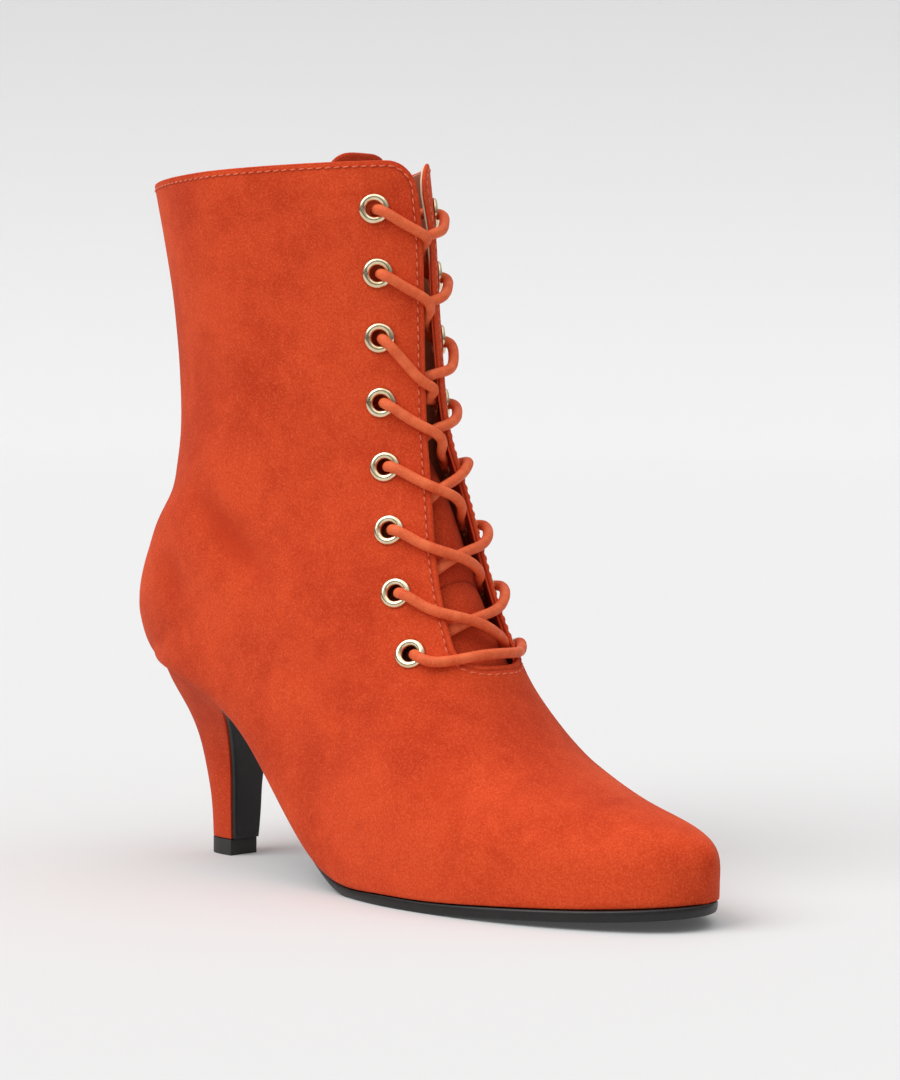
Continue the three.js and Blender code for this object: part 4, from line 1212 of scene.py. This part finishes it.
def gold_material():
    """Pale gold plate with fine handling marks."""
    material, tree, face = shader("pale_gold")
    place = own_place(tree)
    marks = noise(tree, place, 1400.0, 3.0, 0.7)
    cloud = ranged(tree, noise(tree, place, 300.0, 2.0, 0.5), 0.35, 0.7)
    feed(tree, face, Base_Color=mixed(tree, cloud, colour(236, 222, 190), colour(214, 192, 150)),
         Roughness=ranged(tree, marks, 0.35, 0.75, 0.16, 0.3), Metallic=1.0,
         Normal=bumped(tree, marks, 0.06, 0.0001))
    return material


pale_gold = gold_material()
upper_surface = BVHTree.FromPolygons(flat_upper[0].tolist(), flat_upper[1].tolist())


def onto_suede(points):
    """The nearest places on the suede's outside, and its directions out of it there."""
    found = [upper_surface.find_nearest(Vector(point)) for point in points]
    return np.array([f[0] for f in found]), np.array([f[1] for f in found])


for side, hand in zip(SIDES, ("outer", "inner")):
    places, axes = onto_suede(eyelet_at[side])
    for row in range(EYELET_ROWS):
        axis = eyelet_axis[side][row]
        ring_points, ring_quads = turned_ring(places[row] + 0.15 * axis, axis, eyelet_profile())
        ring = mesh_piece(f"flange_{hand}_{row + 1}", ring_points, ring_quads, pale_gold, "eyelet")
        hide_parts(f"eyelet_{hand}_{row + 1}")


# Stitching
# One row of paler thread beside the edge of collar, facings and throat, and one along the
# tongue's turned top. Each stitch is a short plump loop that dips into the suede at its ends.
STITCH_PITCH = 2.9
STITCH_LENGTH = 2.1
STITCH_WIDTH = 0.52
STITCH_HEIGHT = 0.34
STITCH_SLANT = 0.10
STITCH_GRID = 8


def stitch_row(places, outs, runs):
    """Stitches as small ellipsoids laid along a line: a unit grid of angles is stretched, bent
    down at its ends and set at each place by its three directions."""
    around_it = np.linspace(0, 2 * math.pi, STITCH_GRID + 1)[:-1]
    along_it = np.linspace(0, math.pi, STITCH_GRID)
    lengthwise = -np.cos(along_it)[:, None] * np.ones(STITCH_GRID)
    girth = np.sin(along_it)[:, None] ** 0.6
    sideways = girth * np.cos(around_it)
    upwards = girth * np.sin(around_it) - 0.55 * lengthwise**2
    asides = np.cross(outs, runs)
    slanted = unit(runs + STITCH_SLANT * asides)
    points = (places[:, None, None]
              + slanted[:, None, None] * (lengthwise * STITCH_LENGTH / 2)[..., None]
              + asides[:, None, None] * (sideways * STITCH_WIDTH / 2)[..., None]
              + outs[:, None, None] * (upwards * STITCH_HEIGHT + 0.02)[..., None])
    numbers = closed(np.arange(STITCH_GRID**2).reshape(STITCH_GRID, STITCH_GRID))
    numbers[0], numbers[-1] = numbers[0, 0], numbers[-1, 0]
    starts = STITCH_GRID**2 * np.arange(len(places))
    return points.reshape(-1, 3), (starts[:, None, None] + faces_between(numbers, True)).reshape(-1, 4)


def read_along(wanted, walked, values):
    """Columns of values given at distances along a line, read at other distances."""
    return np.stack([np.interp(wanted, walked, column) for column in values.T], -1)


def evenly(line, pitch):
    """Places a pitch apart along a line, with the line's direction at each."""
    walked = lengths(line)
    wanted = np.arange(pitch / 2, walked[-1], pitch)
    ahead, behind = (read_along(wanted + step, walked, line) for step in (0.3, -0.3))
    return read_along(wanted, walked, line), unit(ahead - behind)


def thread_material():
    """Polished sewing thread, two plies seen as slanting light and dark."""
    material, tree, face = shader("thread_orange")
    place = own_place(tree)
    plies = ranged(tree, noise(tree, place, 2600.0, 1.0, 0.5), 0.35, 0.65)
    feed(tree, face, Base_Color=mixed(tree, plies, colour(204, 80, 42), colour(238, 118, 76)),
         Roughness=0.5, Sheen_Weight=0.2)
    return material


thread = thread_material()
rim_run = unit(np.gradient(rim_points, axis=0))
into_suede = unit(np.cross(rim_run, onto_suede(rim_points)[1]))
collar_share = smoothstep(rim_points[:, 2], COLLAR_HEIGHT - 14, COLLAR_HEIGHT - 4)
throat_height = dorsal(THROAT_FOOT)[2]
foot_share = 1 - smoothstep(rim_points[:, 2], throat_height + 2, throat_height + 9)
seam_inset = STITCH_INSET - 0.4 * collar_share + 0.8 * foot_share
seam_places, seam_runs = evenly(rim_points + into_suede * seam_inset[:, None], STITCH_PITCH)
mesh_piece("upper_stitches", *stitch_row(*onto_suede(seam_places), seam_runs), thread, "lace")

border_over = np.linspace(-0.93, 0.93, 161)
border_top = np.interp(border_over, over, tongue_top) - 2.2 / SHAFT_STATION
border_line = tongue_point(border_top, border_over)
border_up = border_line - tongue_point(border_top - 0.02, border_over)
border_out = unit(np.cross(np.gradient(border_line, axis=0), border_up))
border_places, border_runs = evenly(border_line, STITCH_PITCH)
walked = lengths(border_line)
wanted = np.arange(STITCH_PITCH / 2, walked[-1], STITCH_PITCH)
border_outs = unit(read_along(wanted, walked, border_out))
mesh_piece("tongue_stitches", *stitch_row(border_places, border_outs, border_runs), thread, "lace")


# Lace
# One round waxed cord. It lies straight over the foot of the throat, goes down through the
# lowest eyelets, and from there each run comes up from under one facing and crosses to the next
# eyelet of the other. The outer facing's runs lie on top. Its ends stop inside the top eyelets.
LACE_RADIUS = 1.7
LACE_SIDES = 14
LACE_STEP = 0.9
LACE_RUN = np.array([
    # way, edge, setback, lift, squeeze: from a lower eyelet's inside to the next one up
    [0.00, -1.0, -0.98, -3.6, 0.85],
    [0.12, -1.0, -0.62, -3.5, 0.76],
    [0.27, -1.0, -0.15, -3.5, 0.76],
    [0.38, -0.5, 0.00, -1.9, 0.90],
    [0.50, 0.0, 0.00, -0.2, 1.00],
    [0.62, 0.9, 0.03, 1.6, 1.00],
    [0.74, 1.0, 0.32, 1.9, 1.00],
    [0.86, 1.0, 0.60, 2.3, 1.00],
    [0.94, 1.0, 0.79, 3.0, 1.00],
    [0.985, 1.0, 0.93, 1.5, 1.00],
    [0.995, 1.0, 0.95, -1.4, 0.95],
])
OVER_LIFT = 1.5
OUTER_RUNS = np.array([
    # dive, height there, height in the middle, height at the facing's edge: crossings 1 to 7
    [0.25, 0.38, 0.44, 0.53],
    [0.35, 0.18, 0.32, 0.48],
    [-0.50, -0.14, -0.04, 0.08],
    [0.10, -0.05, 0.09, 0.34],
    [0.65, 0.00, 0.11, 0.34],
    [0.80, -0.12, 0.00, 0.31],
    [0.95, -0.38, -0.30, 0.14],
])
INNER_RUNS = np.array([
    # the same, then height and stand-off where the run bulges over its facing
    [0.60, 0.44, 0.47, 0.55, 0.62, 3.2],
    [0.60, 0.37, 0.41, 0.46, 0.60, 3.2],
    [0.60, 0.19, 0.22, 0.28, 0.40, 3.8],
    [0.60, 0.29, 0.34, 0.42, 0.58, 3.6],
    [0.80, 0.26, 0.36, 0.54, 0.75, 4.0],
    [0.85, 0.06, 0.18, 0.36, 0.58, 4.0],
    [0.85, -0.10, -0.07, 0.24, 0.56, 4.0],
])
BAR = np.array([
    # across, drop, lift: over the foot of the throat, from the outer to the inner lowest eyelet
    [-0.97, 0.03, -1.4],
    [-0.95, 0.08, 1.5],
    [-0.86, 0.34, 2.9],
    [-0.58, 0.61, 2.0],
    [-0.20, 0.76, 1.8],
    [0.22, 0.75, 1.8],
    [0.48, 0.60, 2.0],
    [0.68, 0.36, 2.6],
    [0.86, 0.10, 3.2],
    [0.96, 0.02, 1.5],
    [0.97, 0.01, -1.4],
])


def smooth_path(points, step, passes=10):
    """A curve through points by natural cubics over the roots of their distances, which keeps it
    from swinging out between near points. It is cut evenly and each place is then drawn half way
    to the middle of its neighbours a few times."""
    gaps = np.linalg.norm(np.diff(points[:, :3], axis=0), axis=1)
    knots = np.concatenate([[0], np.cumsum(np.sqrt(gaps))])
    curves = [curve_through(knots, points[:, k]) for k in range(points.shape[1])]
    fine = np.linspace(0, knots[-1], 8000)
    line = np.stack([curve(fine) for curve in curves], -1)
    walked = lengths(line[:, :3])
    even = np.linspace(0, walked[-1], round(walked[-1] / step))
    line = read_along(even, walked, line)
    for _ in range(passes):
        line[1:-1] = line[1:-1] / 2 + (line[2:] + line[:-2]) / 4
    return line


def lace_stop(station, reach, lift, squeeze):
    """Places on the lace: each one's point, the direction out of the boot there and its squeeze."""
    station, reach, lift = (np.asarray(value, float) for value in (station, reach, lift))
    squeeze = np.broadcast_to(squeeze, station.shape)[:, None]
    return np.concatenate([lifted(station, reach, lift), outward(station, reach), squeeze], -1)


def lace_run(row, side):
    """The run that comes up from under the other facing and ends in this side's eyelet of a row."""
    run = LACE_RUN.copy()
    dive, deep, middle, edge = (OUTER_RUNS if side < 0 else INNER_RUNS)[row, :4]
    run[3, 1] = -dive
    ways, heights = [0, 0.2, 0.38, 0.50, 0.62, 1], [0, deep / 2, deep, middle, edge, 1]
    lift = run[:, 3] - side * OVER_LIFT * np.exp(-(((run[:, 0] - 0.52) / 0.10) ** 2))
    if side > 0:
        bulge, stand_off = INNER_RUNS[row, 4:]
        ways, heights = ways[:5] + [0.74, 1], heights[:5] + [bulge, 1]
        lift = lift + (stand_off - 2) * np.exp(-(((run[:, 2] - 0.45) / 0.28) ** 2))
    up = np.interp(run[:, 0], ways, heights)
    station = EYELET_STATIONS[row + 1] * (1 - up) + EYELET_STATIONS[row] * up
    hand = np.where(run[:, 1] < 0, -side, side)
    reach = side * (run[:, 1] * facing_reach(station, hand) + run[:, 2] * EYELET_SETBACK)
    return lace_stop(station, reach, lift, run[:, 4])


def lace_half(side):
    """All runs from the lowest eyelet of a side to the top, where the end goes in and stays."""
    runs = []
    for row in range(EYELET_ROWS - 2, -1, -1):
        side = -side
        runs.append(lace_run(row, side))
    top = lace_stop(EYELET_STATIONS[:1], side * eyelet_reach[side][:1], [-5.5], 1.0)
    return np.concatenate(runs + [top])


def lace_bar():
    """The straight run over the foot of the throat."""
    pitch = EYELET_STATIONS[-2] - EYELET_STATIONS[-1]
    reach = BAR[:, 0] * np.where(BAR[:, 0] < 0, eyelet_reach[-1.0][-1], eyelet_reach[1.0][-1])
    return lace_stop(EYELET_STATIONS[-1] - pitch * BAR[:, 1], reach, BAR[:, 2], 1.0)


def tube(path, radius, sides):
    """A cord's surface: an ellipse carried along the path, flattened towards the boot by each
    point's squeeze, with round closed ends. Gives its points, faces, length and turn."""
    run = unit(np.gradient(path[:, :3], axis=0))
    flat = path[:, 3:6] - (path[:, 3:6] * run).sum(-1, keepdims=True) * run
    out = unit(flat)
    for _ in range(12):
        out[1:-1] = out[1:-1] + 0.5 * (out[2:] + out[:-2])
        out = unit(out - (out * run).sum(-1, keepdims=True) * run)
    aside = np.cross(run, out)
    angle = np.linspace(0, 2 * math.pi, sides + 1)[:-1]
    squeeze = path[:, 6:7]
    ring = (out[:, None] * (squeeze * np.cos(angle))[..., None]
            + aside[:, None] * ((1 / squeeze**0.6) * np.sin(angle))[..., None])
    points = path[:, None, :3] + radius * ring
    numbers = np.arange(len(path) * sides).reshape(-1, sides) + 2
    numbers = np.pad(numbers, ((1, 1), (0, 0)), constant_values=((0, 1), (0, 0)))
    quads = faces_between(closed(numbers), True)
    walked = lengths(path[:, :3])
    points = np.concatenate([path[[0, -1], :3], points.reshape(-1, 3)])
    length = np.concatenate([[0, walked[-1]], np.repeat(walked, sides)])
    turn = np.concatenate([[0, 0], np.tile(angle, len(path))])
    return points, quads, length, turn


def lace_material():
    """Round waxed cord: fine slanting plies with a soft gloss, and patches that are glossier and
    painted paler as highlights.
    """
    material, tree, face = shader("waxed_cord")
    place = add_node(tree, "ShaderNodeCombineXYZ", X=stored(tree, "cord_run"),
                     Y=stored(tree, "cord_cos"), Z=stored(tree, "cord_sin")).outputs[0]
    grain = noise(tree, place, 4.2, 3.0, 0.7)
    gloss_and_highlight_patches = noise(tree, place, 0.25, 3.0, 0.6)
    # Painted highlight: the glossier patches are also painted a paler orange.
    base = mixed(tree, ranged(tree, gloss_and_highlight_patches, 0.35, 0.65), colour(216, 84, 42), colour(232, 106, 60))
    speck = math_node(tree, "MULTIPLY", ranged(tree, grain, 0.48, 0.7), 0.6)
    feed(tree, face, Base_Color=mixed(tree, speck, base, colour(246, 146, 98)),
         Roughness=ranged(tree, gloss_and_highlight_patches, 0.3, 0.7, 0.62, 0.46),
         Normal=bumped(tree, grain, 0.5, 0.0002), Specular_IOR_Level=0.22)
    return material


lace_path = np.concatenate([lace_half(-1.0)[::-1], lace_bar(), lace_half(1.0)])
lace_path = smooth_path(lace_path, LACE_STEP)
lace_points, lace_quads, cord_run, cord_turn = tube(lace_path, LACE_RADIUS, LACE_SIDES)
lace = mesh_piece("lace_cord", lace_points, lace_quads, lace_material(), "lace",
                  {"cord_run": cord_run, "cord_cos": np.cos(cord_turn), "cord_sin": np.sin(cord_turn)})
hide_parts("lace_bar_8", *[f"lace_cross_{row}" for row in range(1, EYELET_ROWS)])


# Floor, light and camera
# A pale sweep under soft studio light, seen from where the photograph was taken.
CAMERA_AZIMUTH = 46.376
CAMERA_ELEVATION = 2.739
CAMERA_YAW = -1.343
CAMERA_PITCH = 0.001
CAMERA_ROLL = 0.344
CAMERA_DISTANCE = 979.689
CAMERA_TARGET = (100.0, 0.0, 110.0)
FOCAL_PIXELS = 3020.972
IMAGE_HEIGHT = 1080.0
SENSOR = 36.0


def turned_axes(azimuth, elevation):
    """Right, up and back directions of a camera that looks along +Y at azimuth 0."""
    a, e = math.radians(azimuth), math.radians(elevation)
    back = Vector((math.sin(a) * math.cos(e), -math.cos(a) * math.cos(e), math.sin(e)))
    right = Vector((math.cos(a), math.sin(a), 0))
    return right, back.cross(right), back


_, _, to_camera = turned_axes(CAMERA_AZIMUTH, CAMERA_ELEVATION)
right, up, back = turned_axes(CAMERA_AZIMUTH + CAMERA_YAW, CAMERA_ELEVATION + CAMERA_PITCH)
roll = math.radians(CAMERA_ROLL)
rolled_right = right * math.cos(roll) + up * math.sin(roll)
rolled_up = up * math.cos(roll) - right * math.sin(roll)
camera = bpy.data.objects.new("camera", bpy.data.cameras.new("camera"))
bpy.context.scene.collection.objects.link(camera)
stand = Vector(to_frame(CAMERA_TARGET)) + to_camera * CAMERA_DISTANCE / 1000
camera.rotation_euler = Matrix((rolled_right, rolled_up, back)).transposed().to_euler()
camera.location = stand
camera.data.sensor_fit = "VERTICAL"
camera.data.sensor_height = SENSOR
camera.data.lens = FOCAL_PIXELS * SENSOR / IMAGE_HEIGHT
camera.data.clip_start = 0.05
camera.data.clip_end = 60
bpy.context.scene.camera = camera

SWEEP_HALF = 9.0
SWEEP_BACK = 7.0
SWEEP_RADIUS = 2.5
SWEEP_HEIGHT = 6.0
SWEEP_TONE = 0.66
SWEEP_GLOW = 0.06


def sweep_material():
    """Matt studio paper, with a trace of its own light so that it stays even."""
    material, tree, face = shader("sweep_paper")
    feed(tree, face, Base_Color=(SWEEP_TONE, SWEEP_TONE, SWEEP_TONE, 1), Roughness=1.0,
         Specular_IOR_Level=0.0, Emission_Color=(1, 1, 1, 1), Emission_Strength=SWEEP_GLOW)
    return material


def sweep():
    """Floor that bends up into a wall behind the boot: a line, a quarter circle and a line,
    drawn out sideways and turned to face the camera."""
    bend = np.linspace(0, math.pi / 2, 25)
    away = np.concatenate([[-SWEEP_BACK], SWEEP_BACK + SWEEP_RADIUS * np.sin(bend),
                           [SWEEP_BACK + SWEEP_RADIUS]])
    high = np.concatenate([[0], SWEEP_RADIUS * (1 - np.cos(bend)), [SWEEP_HEIGHT]])
    a = math.radians(CAMERA_AZIMUTH + CAMERA_YAW)
    ahead, aside = np.array([-math.sin(a), math.cos(a), 0]), np.array([math.cos(a), math.sin(a), 0])
    line = away[:, None] * ahead + high[:, None] * np.array([0, 0, 1.0])
    points = np.stack([line - SWEEP_HALF * aside, line + SWEEP_HALF * aside], 1).reshape(-1, 3)
    mesh = bpy.data.meshes.new("sweep")
    mesh.from_pydata(points, [], grid_quads(len(line), 2, 0, True).tolist())
    mesh.polygons.foreach_set("use_smooth", np.ones(len(mesh.polygons), bool))
    mesh.materials.append(sweep_material())
    floor = bpy.data.objects.new("sweep", mesh)
    bpy.context.scene.collection.objects.link(floor)


sweep()


def soft_light(name, azimuth, elevation, spread, strength):
    """A far wide light, even over boot and sweep, from a direction and as soft as its spread."""
    data = bpy.data.lights.new(name, "SUN")
    data.angle = math.radians(spread)
    data.energy = strength
    light = bpy.data.objects.new(name, data)
    bpy.context.scene.collection.objects.link(light)
    _, _, away = turned_axes(azimuth, elevation)
    light.location = away * 3
    light.rotation_euler = away.to_track_quat("Z", "Y").to_euler()


for name, turn, *values in (
    # name, turn from the camera, elevation, spread, strength
    ("key", -60, 46, 46, 1.7),
    ("top", 20, 78, 70, 0.9),
):
    soft_light(name, CAMERA_AZIMUTH + turn, *values)

HORIZON_TONE = 0.86


def studio_world():
    """White overhead, and dim towards the horizon so that metal has something dark to mirror.
    Where it is seen past the sweep's edge it is as pale as the sweep."""
    world = bpy.data.worlds.new("studio")
    bpy.context.scene.world = world
    world.use_nodes = True
    tree = world.node_tree
    place = tree.nodes.new("ShaderNodeTexCoord").outputs["Generated"]
    rise = add_node(tree, "ShaderNodeSeparateXYZ", Vector=place).outputs["Z"]
    seen = tree.nodes.new("ShaderNodeLightPath").outputs["Is Camera Ray"]
    tone = math_node(tree, "MAXIMUM", ranged(tree, rise, 0.1, 0.55, 0.08, 0.62),
                     math_node(tree, "MULTIPLY", seen, HORIZON_TONE))
    feed(tree, tree.nodes["Background"], Color=(1, 1, 1, 1), Strength=tone)


studio_world()
bpy.context.scene.view_settings.view_transform = "Standard"
